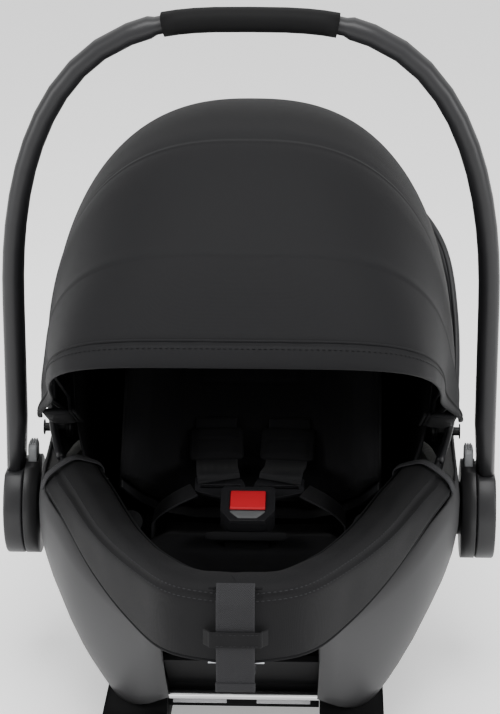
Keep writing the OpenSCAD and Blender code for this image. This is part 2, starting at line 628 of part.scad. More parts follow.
// Cross-section, x across and y off the back
module wing_section(outer, inner) {
    polygon(concat(outer, inner, flipped(inner), flipped(outer)));
}
module rest_extrude(s0, len, outer, inner) {
    on_back(s0 + len, rest_n) rotate([90, 0, 0]) linear_extrude(len) wing_section(outer, inner);
}
pad_out = [[0, rest_t + gap], [50.5, rest_t + gap], [80.5, 17], [99, 37], [114, 67]];
pad_in = [[114, 67 + 0.1], [120, 76], [112, 84], [98, 76], [84, 50], [70, 32], [48, rest_t + pad_t],
    [0, rest_t + pad_t]];
module rest_slots() {
    for (x = [-1, 1]) on_back(strap_s - slot_d / 2, rest_n - 2) translate([x * strap_x - web_w / 2 - 1, 0, 0])
        cube([web_w + 2, slot_d, 60]);
}
module headrest_shell() {
    color("#19191b") difference() {
        rest_extrude(0, rest_len, wing, wing_in);
        rest_slots();
        on_back(rest_len - 16, 0) translate([-26, -7, 0]) cube([52, 20, 40]);
    }
}
module headrest_pad() {
    color("#1f1f21") difference() {
        rest_extrude(4, rest_len - 32, pad_out, pad_in);
        rest_slots();
    }
}
catch_travel = 5;
module headrest_catch() {
    color("#2b2b2d") on_back(rest_len - 16, rest_n - 6) translate([-25, -1, 0]) {
        cube([50, 7, 22]);
        translate([0, -catch_travel, 18]) cube([50, 14, 4]);
    }
}

// Newborn insert
function insert_top(y) = y < -30 ? mix(140, 156, (-30 - y) / 54) : mix(140, 128, (y + 30) / 60);
module insert_seat() {
    color("#242427") difference() {
        intersection() {
            translate([-94, 0, 0]) rotate([90, 0, 90]) linear_extrude(188)
                polygon([[-96, 60], [34, 60], [30, insert_top(30)], [-30, insert_top(-30)],
                    [-84, insert_top(-84)], [-96, insert_top(-84) - 4]]);
            tub_block(lining_1 + 0.5);
        }
        translate([-web_w / 2 - 1, crotch_y - slot_d / 2, 60]) cube([web_w + 2, slot_d, 120]);
        on_back(-4, rest_n - 8) translate([-150, 0, 0]) cube([300, 300, 200]);
        lap_slots();
    }
}
module insert_bolsters() {
    color("#29292c") both_sides() loft([for (i = [0:8])
        let (q = i / 8, y = mix(-88, -24, q), w = 4 + 8 * sin(180 * mix(0.12, 0.88, q)),
            c = [mix(100, 106, q), y, insert_top(y) + w + 2])
        [for (a = [0:45:359]) c + [w * cos(a), 0, w * sin(a)]]]);
}

// Buckle: it lies on the insert, its face tipped towards the feet
buckle_c = [0, -52, 170];
buckle_tilt = 20;
buckle_l = 46;
buckle_t = 20;
module at_buckle() {
    translate(buckle_c) rotate([buckle_tilt, 0, 0]) children();
}
button_hole = [31, 24];
module buckle_outline(w, l, r) {
    polygon([[-w / 2 + r, -l / 2], [w / 2 - r, -l / 2], [w / 2, -l / 2 + r * 1.6], [w / 2, l / 2 - 3],
        [w / 2 - 3, l / 2], [-w / 2 + 3, l / 2], [-w / 2, l / 2 - 3], [-w / 2, -l / 2 + r * 1.6]]);
}
module buckle_body() {
    color("#3a3a3d") at_buckle() difference() {
        translate([0, 0, -buckle_t / 2]) linear_extrude(buckle_t) buckle_outline(buckle_w, buckle_l, 9);
        translate([-button_hole[0] / 2 - 0.4, -8.4, -2]) cube([button_hole[0] + 0.8, button_hole[1] + 0.8, 20]);
        translate([-buckle_w / 2 + 3, buckle_l / 2 - 18, -7]) cube([buckle_w - 6, 40, 4]);
        translate([-web_w / 2 - 1, -buckle_l / 2 - 1, -buckle_t / 2 - 1]) cube([web_w + 2, 6, 8]);
    }
}
module buckle_button() {
    color("#d8323a") at_buckle() translate([-button_hole[0] / 2, -8, -2 + button_travel + gap])
        cube([button_hole[0], button_hole[1], buckle_t / 2 + 3 - button_travel]);
}
module buckle_tongues() {
    color("#b8babd") at_buckle() both_sides() difference() {
        translate([1, buckle_l / 2 - 17, -6.5]) linear_extrude(3)
            polygon([[0, 0], [buckle_w / 2 - 5, 0], [buckle_w / 2 - 5, 17], [48, 26], [48, 44], [6, 44], [0, 26]]);
        translate([8, buckle_l / 2 + 13, -8]) cube([web_w - 2, 5, 6]);
    }
}
function buckle_pt(x, y, z) = buckle_c + [x, y * cos(buckle_tilt) - z * sin(buckle_tilt),
    y * sin(buckle_tilt) + z * cos(buckle_tilt)];

// Webbing in front of the headrest, from its slot to the tongue
rest_front = rest_n + rest_t + pad_t;
strap_path = [on_back_pt(strap_x, strap_s, rest_n + rest_t), on_back_pt(strap_x, strap_s, rest_front + 4),
    on_back_pt(strap_x, strap_s - 12, rest_front + 10), on_back_pt(strap_x - 2, 40, rest_front + 18),
    buckle_pt(29, 52, 3), buckle_pt(27, 41, 1)];
module shoulder_straps() {
    color("#343437") both_sides() ribbon(strap_path, web_w, web_t);
}
// A padded sleeve on each shoulder strap
module shoulder_pads() {
    sleeve = [for (q = [0.05, 0.35, 0.65, 0.95]) mix(strap_path[2], strap_path[3], q)];
    color("#2c2c2f") both_sides() difference() {
        ribbon(sleeve, web_w + 12, 9);
        ribbon(strap_path, web_w + 1, web_t + 1);
    }
}
module lap_straps() {
    z = insert_top(lap_y);
    color("#343437") both_sides() ribbon([buckle_pt(49.5, 34, -4), [70, lap_y - 2, z + 30],
        [lap_x - 3, lap_y, z + 18], [lap_x, lap_y, z + 6], [lap_x, lap_y, tub_z(lap_x, lap_y, 0) - 6]],
        web_w, web_t, [0, 1, 0]);
}
anchor_t = 3;
anchor_z = tub_z(0, crotch_y + 8, 0) - 0.5;
module crotch_strap() {
    top = insert_top(crotch_y);
    color("#343437") ribbon([buckle_pt(0, -buckle_l / 2 + 3, -6), buckle_pt(0, -buckle_l / 2 - 4, -7),
        [0, crotch_y, top + 1], [0, crotch_y, top - 8], [0, crotch_y, anchor_z - anchor_t]], web_w, web_t);
}
// Metal bars under the shell that hold the ends of the crotch and lap webbing
module crotch_anchor() {
    color("#9a9da1") {
        difference() {
            translate([-web_w / 2 - 8, crotch_y - 8, anchor_z - anchor_t]) cube([web_w + 16, 16, anchor_t]);
            translate([-web_w / 2 - 0.6, crotch_y - 1.2, anchor_z - 10]) cube([web_w + 1.2, 2.4, 20]);
        }
        lap_anchor_z = tub_z(lap_x - 8, lap_y, 0) - 3;
        both_sides() difference() {
            translate([lap_x - 8, lap_y - web_w / 2 - 8, lap_anchor_z - anchor_t]) cube([16, web_w + 16, anchor_t]);
            translate([lap_x - 1.2, lap_y - web_w / 2 - 0.6, lap_anchor_z - 10]) cube([2.4, web_w + 1.2, 20]);
        }
    }
}
module crotch_pad() {
    color("#2c2c2f") translate([0, crotch_y - 3, insert_top(crotch_y) + 4.4]) rotate([-16, 0, 0])
        difference() {
            translate([-36, -11, -3]) cube([72, 20, 6.5]);
            translate([-web_w / 2 - 2, 0, -10]) cube([web_w + 4, 30, 30]);
        }
}

// Webbing behind the headrest, down to the yoke under the shell
yoke_s = 14;
yoke_n = -lining_1 - 10;
yoke_t = 3;
module rear_straps() {
    n = yoke_n + yoke_t / 2 + web_t / 2 + 0.2;
    color("#343437") both_sides() ribbon([on_back_pt(strap_x, strap_s, rest_n + rest_t / 2),
        on_back_pt(strap_x, strap_s, -lining_1 + 6), on_back_pt(strap_x, strap_s - 10, n),
        on_back_pt(strap_x - 3, yoke_s - 8, n)], web_w, web_t);
}
module strap_yoke() {
    color("#9a9da1") on_back(yoke_s - 12, yoke_n - yoke_t / 2) translate([-54, 0, 0]) cube([108, 20, yoke_t]);
}
// Adjuster: its webbing runs from the yoke under the shell to the foot end
adjuster_z = rim_foot_z - 32;            // top of the adjuster's frame
adjuster_y = -foot_reach + 10.5;         // middle of the adjuster's frame
adjuster_t = 8;
adjuster_h = 18;
tail_y = -foot_reach - 8;                // the tail hangs outside the lip's skirt
under = 9;                               // distance of the webbing below the shell
module adjuster_strap() {
    n = yoke_n - yoke_t / 2 - web_t / 2 - 0.2;
    foot = adjuster_z - adjuster_h;
    lip_z = rim_foot_z + lip_rise;
    color("#343437") {
        ribbon(concat([on_back_pt(0, yoke_s, n), on_back_pt(0, yoke_s - 18, n)],
            [for (h = [0, 0.12, 0.25, 0.4, 0.55, 0.7, 0.78]) tub(0, h, -under)],
            [[0, adjuster_y + 6, foot - 12], [0, adjuster_y + 4, foot - 5], [0, adjuster_y, foot - 1],
                [0, adjuster_y, adjuster_z - 2]]), adjuster_w, web_t);
        ribbon([[0, tail_y + 11, lip_z + 3], [0, tail_y + 6, lip_z - 3], [0, tail_y + 1, lip_z - 11],
            [0, tail_y, lip_z - 20], [0, tail_y, keeper_z[1]], [0, tail_y, keeper_z[0]],
            [0, tail_y + 1.5, keeper_z[0] - 18], [0, tail_y + 0.5, keeper_z[0] - 40],
            [0, tail_y - 2, keeper_z[0] - 60]], adjuster_w, web_t);
    }
}
module adjuster_body() {
    color("#8f9296") difference() {
        translate([-22, adjuster_y - adjuster_t / 2, adjuster_z - adjuster_h])
            cube([44, adjuster_t, adjuster_h]);
        translate([-adjuster_w / 2 - 1, adjuster_y - 1.6, adjuster_z - adjuster_h - 1])
            cube([adjuster_w + 2, 3.2, adjuster_h + 2]);
    }
}
module adjuster_lever() {
    color("#2b2b2d") translate([-14, adjuster_y - 8, adjuster_z - adjuster_h - 14.5]) cube([28, 3.5, 12.5]);
}

// Rear release: a bracket on the shell's back and the lever that slides in it
module at_rear() {
    translate(tub(1, 0.78, 0)) rotate([back_angle, 0, 0]) children();
}
release_travel = 8;
module rear_bracket() {
    color("#19191b") difference() {
        at_rear() translate([-48, -24, -16]) cube([96, 50, 26]);
        tub_block(-0.3);
        at_rear() translate([-38, -16, -17]) cube([76, 30 + release_travel, 9]);
    }
}
module release_lever() {
    color("#4a4a4c") at_rear() {
        translate([-37.5, -15, -15.5]) cube([75, 26, 6]);
        translate([-30, -15, -25]) cube([60, 6, 10]);
    }
}

// Elastic bands that hold the cover's lip down beside each hub, and a tab on the left one
band_u = 0.428;
band_lift = 2.2;           // middle of the band over the lip
function lip_over(u, off) =
    let (p = rim_at(u), n = rim_out(u), z = [0, 0, 1], low = lip_low(u))
    [low + n * off - z * 2, p + n * (lip_out(u) * 0.6 + 1.5 + off) + z * (lip_rise * 0.25 + off),
        p - n * 3 + z * (lip_rise + off), p - n * (lip_in(u) * 0.6) + z * (lip_rise - 2 + off),
        p - n * (lip_in(u) + off) + z * (lip_rise - 9 + off), p - n * (lip_in(u) + off) - z * 4];
module cover_band() {
    n = rim_out(band_u);
    ribbon(lip_over(band_u, band_lift), 9, 1.4, [-n[1], n[0], 0]);
}
module cover_bands() {
    color("#101012") both_sides() cover_band();
}
module band_tab() {
    p = flip(last(lip_over(band_u, band_lift)));
    color("#77797c") translate(p + [2.4, -7, -20]) cube([3, 14, 20]);
}

seat_shell();
foam_liner();
seat_cover();
lip_pad();
base_rail();  // base_rail_right
mirror([1, 0, 0]) base_rail();  // base_rail_left
base_pan();
docking_bar(bar_front);  // docking_bar_front
docking_bar(bar_rear);  // docking_bar_rear
foot_pads();
side_panel();  // side_panel_right
mirror([1, 0, 0]) side_panel();  // side_panel_left
label_plates();
handle_frame();
handle_grip();
handle_hub();  // handle_hub_right
mirror([1, 0, 0]) handle_hub();  // handle_hub_left
detent_rings();
hub_housing();  // hub_housing_right
mirror([1, 0, 0]) hub_housing();  // hub_housing_left
handle_axles();
release_button();  // release_button_right
mirror([1, 0, 0]) release_button();  // release_button_left
lock_bolt();  // lock_bolt_right
mirror([1, 0, 0]) lock_bolt();  // lock_bolt_left
button_spring();  // button_spring_right
mirror([1, 0, 0]) button_spring();  // button_spring_left
canopy_panel_front();
canopy_panel_mid();
canopy_panel_rear();
canopy_rim();
canopy_hoop_mid();
canopy_hoop_rear();
canopy_pivots();
headrest_shell();
headrest_pad();
headrest_catch();
insert_seat();
insert_bolsters();
shoulder_straps();
rear_straps();
lap_straps();
crotch_strap();
crotch_anchor();
buckle_body();
buckle_button();
buckle_tongues();
shoulder_pads();
crotch_pad();
adjuster_strap();
adjuster_body();
adjuster_lever();
strap_yoke();
rear_bracket();
release_lever();
cover_bands();
band_tab();
screws();
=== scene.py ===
import json
import math

import bpy
import numpy as np
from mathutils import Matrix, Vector
from mathutils.bvhtree import BVHTree


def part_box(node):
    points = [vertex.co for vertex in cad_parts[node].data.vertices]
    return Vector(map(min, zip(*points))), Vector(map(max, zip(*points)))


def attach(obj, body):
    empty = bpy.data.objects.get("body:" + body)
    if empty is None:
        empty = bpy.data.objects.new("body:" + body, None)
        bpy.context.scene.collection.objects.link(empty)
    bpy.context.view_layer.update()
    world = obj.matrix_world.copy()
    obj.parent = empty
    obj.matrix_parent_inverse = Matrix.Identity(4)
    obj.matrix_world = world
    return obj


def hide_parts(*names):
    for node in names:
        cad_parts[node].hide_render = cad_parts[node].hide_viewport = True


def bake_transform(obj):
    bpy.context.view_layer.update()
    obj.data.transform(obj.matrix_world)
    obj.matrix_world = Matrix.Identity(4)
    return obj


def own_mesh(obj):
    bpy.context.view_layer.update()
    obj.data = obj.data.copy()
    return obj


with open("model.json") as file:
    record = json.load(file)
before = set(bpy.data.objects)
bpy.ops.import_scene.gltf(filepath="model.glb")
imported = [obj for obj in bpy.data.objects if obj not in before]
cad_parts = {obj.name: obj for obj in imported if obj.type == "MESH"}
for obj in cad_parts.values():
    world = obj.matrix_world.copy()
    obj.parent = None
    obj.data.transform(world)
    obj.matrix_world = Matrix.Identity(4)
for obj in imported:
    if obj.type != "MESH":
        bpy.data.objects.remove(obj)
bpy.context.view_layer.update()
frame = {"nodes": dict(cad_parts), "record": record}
bpy.ops.object.select_all(action="DESELECT")
MM = 0.001


# ---------------------------------------------------------------- shader maths
class Value:
    """A socket in a material. Arithmetic on it adds Math nodes."""

    def __init__(self, look, socket):
        self.look, self.socket = look, socket

    def calc(self, operation, *others):
        feeds = dict(enumerate((self, *others)))
        return self.look.node("ShaderNodeMath", {"operation": operation}, feeds)

    def __add__(self, other):
        return self.calc("ADD", other)

    __radd__ = __add__

    def __mul__(self, other):
        return self.calc("MULTIPLY", other)

    __rmul__ = __mul__

    def __sub__(self, other):
        return self.calc("SUBTRACT", other)

    def __rsub__(self, other):
        return self * -1 + other

    def __truediv__(self, other):
        return self.calc("DIVIDE", other)

    def sine(self):
        return self.calc("SINE")

    def size(self):
        return self.calc("ABSOLUTE")

    def part(self):
        return self.calc("FRACT")

    def held(self):
        return self.look.node("ShaderNodeClamp", {}, {"Value": self})


class Look:
    """A material under construction."""

    def __init__(self, name, **constants):
        self.material = bpy.data.materials.new(name)
        self.material.use_nodes = True
        self.tree = self.material.node_tree
        self.shader = self.tree.nodes["Principled BSDF"]
        for socket, value in constants.items():
            self.shader.inputs[socket.replace("_", " ")].default_value = value
        self.spot = self.node("ShaderNodeTexCoord", {}, {}, "Object")

    def node(self, kind, settings, feeds, out=0):
        made = self.tree.nodes.new(kind)
        for key, value in settings.items():
            if key == "stops":
                for stop, (place, colour) in zip(made.color_ramp.elements, value):
                    stop.position, stop.color = place, (*colour, 1)
            else:
                setattr(made, key, value)
        for key, value in feeds.items():
            self.feed(made.inputs[key], value)
        return Value(self, made.outputs[out])

    def feed(self, socket, value):
        if isinstance(value, Value):
            self.tree.links.new(value.socket, socket)
        else:
            socket.default_value = value

    def axes(self, source=None):
        feeds = {0: source or self.spot}
        return [self.node("ShaderNodeSeparateXYZ", {}, feeds, i) for i in range(3)]

    def noise(self, scale, detail=3, source=None):
        feeds = {"Vector": source or self.spot, "Scale": scale, "Detail": detail}
        return self.node("ShaderNodeTexNoise", {}, feeds)

    def blend(self, share, low, high):
        colours = [(*c, 1) if isinstance(c, tuple) and len(c) == 3 else c for c in (low, high)]
        return self.node("ShaderNodeMix", {"data_type": "RGBA"}, {0: share, 6: colours[0], 7: colours[1]}, 2)

    def relief(self, height, strength, depth, base=None):
        feeds = {"Strength": strength, "Distance": depth, "Height": height}
        if base:
            feeds["Normal"] = base
        return self.node("ShaderNodeBump", {}, feeds)

    def finish(self, **feeds):
        for socket, value in feeds.items():
            self.feed(self.shader.inputs[socket.replace("_", " ")], value)
        return self.material


def tint(colour, share):
    return tuple(min(1, c * share) for c in colour)


# linear tones of the finishes, where the slot's flat tone is only a rough guide
TONES = {
    "canopy_fabric": (0.0042, 0.0042, 0.0048), "cover_fabric": (0.0042, 0.0042, 0.0047),
    "lip_fabric": (0.0042, 0.0042, 0.0047), "pad_fabric": (0.009, 0.009, 0.0098),
    "webbing": (0.013, 0.013, 0.0145), "elastic": (0.02, 0.02, 0.022), "shell_plastic": (0.009, 0.009, 0.01),
    "base_plastic": (0.0035, 0.0035, 0.0038), "handle_plastic": (0.011, 0.011, 0.012),
    "grip_rubber": (0.003, 0.003, 0.0032), "housing_plastic": (0.01, 0.01, 0.0105),
    "hoop_plastic": (0.008, 0.008, 0.009), "panel_plastic": (0.03, 0.03, 0.031),
    "buckle_plastic": (0.02, 0.02, 0.022), "button_grey": (0.13, 0.134, 0.138), "tab_grey": (0.14, 0.144, 0.148),
    "button_red": (0.72, 0.022, 0.035), "label_white": (0.30, 0.30, 0.31), "foot_rubber": (0.006, 0.006, 0.006),
}


def cloth(name, colour, thread=0.9, rough=0.82, sheen=0.02, relief=0.35):
    """Woven or knitted cloth: fine threads, lint and slow shade changes."""
    look = Look(name, Sheen_Weight=sheen, Sheen_Roughness=0.45, Specular_IOR_Level=0.12)
    turns = 2 * math.pi / (thread * MM)
    x, y, z = [(axis * turns).sine() for axis in look.axes()]
    weave = x * y + y * z + z * x
    lint, shade = look.noise(1400, 2), look.noise(11, 4)
    tone = (shade * 0.75 + lint * 0.25 + weave * 0.04).held()
    return look.finish(
        Base_Color=look.blend(tone, tint(colour, 0.72), tint(colour, 1.38)),
        Roughness=(shade * 0.12 + rough - 0.04).held(),
        Normal=look.relief(weave * 0.5 + lint, relief, 0.0003),
    )


def webbing(name, colour):
    """Woven tape: a herringbone along the strap, with a closer woven edge."""
    look = Look(name, Sheen_Weight=0.03, Sheen_Roughness=0.4, Specular_IOR_Level=0.2)
    across, along, _ = look.axes(look.node("ShaderNodeTexCoord", {}, {}, "UV"))
    zigzag = ((across * 6).part() - 0.5).size() * 2
    twill = ((along / 0.0019 + zigzag * 1.6) * 6.2832).sine()
    edge = (((across - 0.5).size() - 0.44) * 40).held()
    cord = ((along / 0.0012) * 6.2832).sine()
    height = twill * (1 - edge) + cord * edge
    shade = look.noise(24)
    tone = (height * 0.16 + shade * 0.6 + edge * 0.2 + 0.1).held()
    return look.finish(
        Base_Color=look.blend(tone, tint(colour, 0.6), tint(colour, 1.5)),
        Roughness=(shade * 0.15 + 0.62).held(),
        Normal=look.relief(height, 0.5, 0.0003),
    )


def moulded(name, colour, rough=0.42, grain=0.12, edge=0.9, radius=0.9, **constants):
    """Moulded plastic or rubber: fine grain, and rounded edges made lighter, partly as wear and partly as a painted
    highlight.
    """
    look = Look(name, **constants)
    rounded = look.node("ShaderNodeBevel", {"samples": 4}, {"Radius": radius * MM})
    flat = look.node("ShaderNodeNewGeometry", {}, {}, "Normal")
    turn = look.node("ShaderNodeVectorMath", {"operation": "DOT_PRODUCT"}, {0: rounded, 1: flat}, 1)
    shade, pits = look.noise(9, 4), look.noise(1900, 2)
    # the rounded edges are lightened partly as edge wear and partly as a painted highlight along every edge
    edge_wear_and_highlight = ((1 - turn) * 5 * edge + (shade - 0.5) * 0.1).held()
    tone = (shade * 0.8 + pits * 0.2).held()
    body = look.blend(tone, tint(colour, 0.8), tint(colour, 1.22))
    return look.finish(
        Base_Color=look.blend(edge_wear_and_highlight * 0.6, body, tint(colour, 2.4)),
        Roughness=(shade * 0.14 + pits * 0.06 + rough - 0.1).held(),
        Normal=look.relief(pits, grain, 0.0002, rounded),
    )


def metal(name, colour, rough=0.28, brushed=0.2):
    """Plated or polished steel, with fine marks from drawing and handling."""
    look = Look(name, Metallic=1.0)
    x, y, z = look.axes()
    marks = look.node("ShaderNodeCombineXYZ", {}, {0: x * 0.05, 1: y, 2: z})
    lines, haze = look.noise(1600, 2, marks), look.noise(40, 4)
    tone = (haze * 0.7 + lines * 0.3).held()
    return look.finish(
        Base_Color=look.blend(tone, tint(colour, 0.82), tint(colour, 1.1)),
        Roughness=(haze * 0.16 + lines * brushed * 0.4 + rough - 0.1).held(),
        Normal=look.relief(lines, 0.05 + brushed * 0.2, 0.0001),
    )


def beads(name, colour):
    """Moulded bead foam."""
    look = Look(name, Specular_IOR_Level=0.3)
    cell = look.node("ShaderNodeTexVoronoi", {}, {"Vector": look.spot, "Scale": 320.0}, 0)
    return look.finish(
        Base_Color=look.blend((cell * 1.4).held(), tint(colour, 1.05), tint(colour, 0.8)),
        Roughness=(cell * 0.2 + 0.7).held(),
        Normal=look.relief(cell, 0.5, 0.0008),
    )


slots = {m["slot"]: tuple(m["base_color"][:3]) for m in frame["record"]["materials"]}
looks = {}
for slot, plain in slots.items():
    colour = TONES.get(slot, plain)
    if slot in ("cover_fabric", "pad_fabric"):
        looks[slot] = cloth(slot, colour, thread=1.1, rough=0.88, sheen=0.015)
    elif slot == "lip_fabric":
        looks[slot] = cloth(slot, colour, thread=0.8, rough=0.62, sheen=0.02)
    elif slot == "canopy_fabric":
        looks[slot] = cloth(slot, colour, thread=0.6, rough=0.6, sheen=0.02, relief=0.25)
    elif slot in ("webbing", "elastic"):
        looks[slot] = webbing(slot, colour)
    elif slot == "foam":
        looks[slot] = beads(slot, colour)
    elif slot == "bar_chrome":
        looks[slot] = metal(slot, colour, rough=0.16, brushed=0.05)
    elif slot in ("zinc", "spring_steel"):
        looks[slot] = metal(slot, colour, rough=0.36, brushed=0.4)
    elif slot in ("grip_rubber", "foot_rubber"):
        looks[slot] = moulded(slot, colour, rough=0.7, grain=0.4, edge=0.3, Specular_IOR_Level=0.12)
    elif slot == "base_plastic":
        looks[slot] = moulded(slot, colour, rough=0.7, edge=0.4, Specular_IOR_Level=0.08)
    elif slot == "panel_plastic":
        looks[slot] = moulded(slot, colour, rough=0.5, edge=0.5, Specular_IOR_Level=0.2)
    elif slot in ("buckle_plastic", "button_red"):
        looks[slot] = moulded(slot, colour, rough=0.26, grain=0.04, edge=0.35, Coat_Weight=0.3)
    else:
        looks[slot] = moulded(slot, colour, Specular_IOR_Level=0.32)
slot_of = {s["node"]: s["material_slot"] for s in frame["record"]["subparts"]}


def dress(piece, slot):
    piece.data.materials.clear()
    piece.data.materials.append(looks[slot])


for node, piece in frame["nodes"].items():
    dress(piece, slot_of[node])


# ---------------------------------------------------------------- the seat's shape, in millimetres
HALF, FOOT, HEAD, RIM_FOOT, RIM_HEAD, FLOOR = 188, 318, 330, 192, 392, 70
FLOOR_POINT = np.array([0.0, 20, FLOOR])
RIM_SHARES = [
    (0, -1, 0), (0.26, -0.94, 0), (0.44, -0.785, 0), (0.60, -0.59, 0.01), (0.74, -0.35, 0.03),
    (0.88, -0.10, 0.06), (0.98, 0.14, 0.24), (1, 0.42, 0.54), (0.94, 0.66, 0.79), (0.73, 0.885, 0.94),
    (0.37, 0.975, 0.995), (0, 1, 1),
]
RIM = np.array([
    (x * HALF, y * (FOOT if y < 0 else HEAD), RIM_FOOT + z * (RIM_HEAD - RIM_FOOT)) for x, y, z in RIM_SHARES
])
UP = np.array([0.0, 0, 1])


def mix(a, b, t):
    return a + (b - a) * t


def ease(t):
    t = min(1.0, max(0.0, t))
    return t * t * (3 - 2 * t)


def unit(v):
    return v / np.linalg.norm(v)


def along(points, t):
    """A smooth curve through points, at t from 0 to 1."""
    n = len(points) - 1
    s = min(1.0, max(0.0, t)) * n
    i = min(n - 1, int(s))
    f = s - i
    a = points[i - 1] if i else 2 * points[0] - points[1]
    b, c = points[i], points[i + 1]
    d = points[i + 2] if i < n - 1 else 2 * points[n] - points[n - 1]
    return 0.5 * (2 * b + (c - a) * f + (2 * a - 5 * b + 4 * c - d) * f * f + (3 * b - a - 3 * c + d) * f**3)


def line(points, count):
    points = [np.array(p, float) for p in points]
    return [along(points, i / (count - 1)) for i in range(count)]


def rim(u):
    p = along(RIM, abs(u))
    return p * (-1, 1, 1) if u < 0 else p


def rim_out(u):
    if abs(u) > 0.98:
        return np.array([0.0, 1, 0])
    d = rim(u + 0.004) - rim(u - 0.004)
    return unit(np.array([d[1], -d[0], 0]))


def tub(u, h, t):
    p = rim(u)
    edge = p - t * unit(np.array([p[0], p[1] - FLOOR_POINT[1], 0]))
    y = p[1]
    straight = 0.85 * (y / HEAD) ** 1.2 if y > 0 else 0.35 * (-y / FOOT) ** 2
    rise = straight * h + (1 - straight) * (1 - math.sqrt(max(0, 1 - h * h)))
    return np.array([
        mix(FLOOR_POINT[0], edge[0], h), mix(FLOOR_POINT[1], edge[1], h), mix(FLOOR + t, edge[2], rise)
    ])


LINING = 25
back_low, back_high = tub(1, 0.1, LINING), tub(1, 0.7, LINING)
BACK = math.atan2(back_high[2] - back_low[2], back_high[1] - back_low[1])


def on_back(x, s, n):
    """x across, s up the backrest and n off its lining."""
    return back_low + (x, s * math.cos(BACK) - n * math.sin(BACK), s * math.sin(BACK) + n * math.cos(BACK))


BUCKLE, TILT = np.array([0.0, -52, 170]), math.radians(20)


def on_buckle(x, y, z):
    return BUCKLE + (x, y * math.cos(TILT) - z * math.sin(TILT), y * math.sin(TILT) + z * math.cos(TILT))


# ---------------------------------------------------------------- modelling helpers
def taken(name):
    piece = bpy.context.active_object
    piece.name = piece.data.name = name
    return piece


def only(piece):
    bpy.ops.object.select_all(action="DESELECT")
    piece.select_set(True)
    bpy.context.view_layer.objects.active = piece


def applied(piece, kind, **settings):
    only(piece)
    modifier = piece.modifiers.new(kind, kind)
    for key, value in settings.items():
        setattr(modifier, key, value)
    bpy.ops.object.modifier_apply(modifier=modifier.name)
    return piece


def edited(piece, *steps):
    """Runs edit-mode operators, each a name and its settings, on the whole piece."""
    only(piece)
    bpy.ops.object.mode_set(mode="EDIT")
    for operator, settings in steps:
        bpy.ops.mesh.select_all(action="SELECT")
        getattr(bpy.ops.mesh, operator)(**settings)
    bpy.ops.object.mode_set(mode="OBJECT")
    return piece


def smooth(piece, levels=0, angle=None):
    if levels:
        applied(piece, "SUBSURF", levels=levels, render_levels=levels)
    only(piece)
    if angle:
        bpy.ops.object.shade_smooth_by_angle(angle=math.radians(angle))
    else:
        bpy.ops.object.shade_smooth()
    return piece


def points_of(piece):
    co = np.empty(len(piece.data.vertices) * 3, np.float32)
    piece.data.vertices.foreach_get("co", co)
    return co.reshape(-1, 3).astype(float) / MM


def set_points(piece, points):
    piece.data.vertices.foreach_set("co", (np.asarray(points) * MM).astype(np.float32).ravel())
    piece.data.update()


def grid(name, rows):
    """A sheet through rows of points, with its UV map in metres along and shares across."""
    n, m = len(rows[0]), len(rows)
    bpy.ops.mesh.primitive_grid_add(x_subdivisions=n - 1, y_subdivisions=m - 1, size=1, calc_uvs=True)
    piece = taken(name)
    set_points(piece, [p for row in rows for p in row])
    lengths = [0.0]
    for a, b in zip(rows, rows[1:]):
        lengths.append(lengths[-1] + float(np.linalg.norm(a[n // 2] - b[n // 2])) * MM)
    layer = piece.data.uv_layers[0]
    for loop in piece.data.loops:
        row, column = divmod(loop.vertex_index, n)
        layer.data[loop.index].uv = (column / (n - 1), lengths[row])
    return piece


def tube(name, rings, levels=1):
    """A closed form through rings of points, its ends filled."""
    piece = grid(name, [list(r) + [r[0]] for r in rings])
    edited(
        piece,
        ("remove_doubles", {"threshold": 0.00001}),
        ("fill_holes", {"sides": 0}),
        ("normals_make_consistent", {"inside": False}),
    )
    return smooth(piece, levels)


def strap(name, path, width, across, thick=1.6, count=60):
    """Flat webbing along a path, its width along the direction across."""
    spots = line(path, count)
    rows = []
    for i, p in enumerate(spots):
        d = unit(spots[min(count - 1, i + 1)] - spots[max(0, i - 1)])
        side = unit(np.array(across, float) - np.dot(across, d) * d)
        rows.append([p + side * width * (k / 8 - 0.5) for k in range(9)])
    piece = grid(name, rows)
    applied(piece, "SOLIDIFY", thickness=thick * MM, offset=0)
    applied(piece, "BEVEL", width=0.45 * MM, segments=2, limit_method="ANGLE", angle_limit=math.radians(50))
    edited(piece, ("normals_make_consistent", {"inside": False}))
    return smooth(piece, angle=50)


def cord_line(name, points, radius, sides=8):
    """A round cord, such as piping, along a row of points."""
    rings = []
    for i, p in enumerate(points):
        d = unit(points[min(len(points) - 1, i + 1)] - points[max(0, i - 1)])
        a = unit(np.cross(d, UP if abs(d[2]) < 0.9 else (1, 0, 0)))
        b = np.cross(d, a)
        turns = [2 * math.pi * k / sides for k in range(sides)]
        rings.append([p + radius * (a * math.cos(t) + b * math.sin(t)) for t in turns])
    return tube(name, rings, 0)


def copied(node, name):
    """A merged copy of a CAD node's mesh."""
    source = frame["nodes"][node]
    piece = bpy.data.objects.new(name, source.data.copy())
    bpy.context.scene.collection.objects.link(piece)
    return edited(piece, ("remove_doubles", {"threshold": 0.00002}))


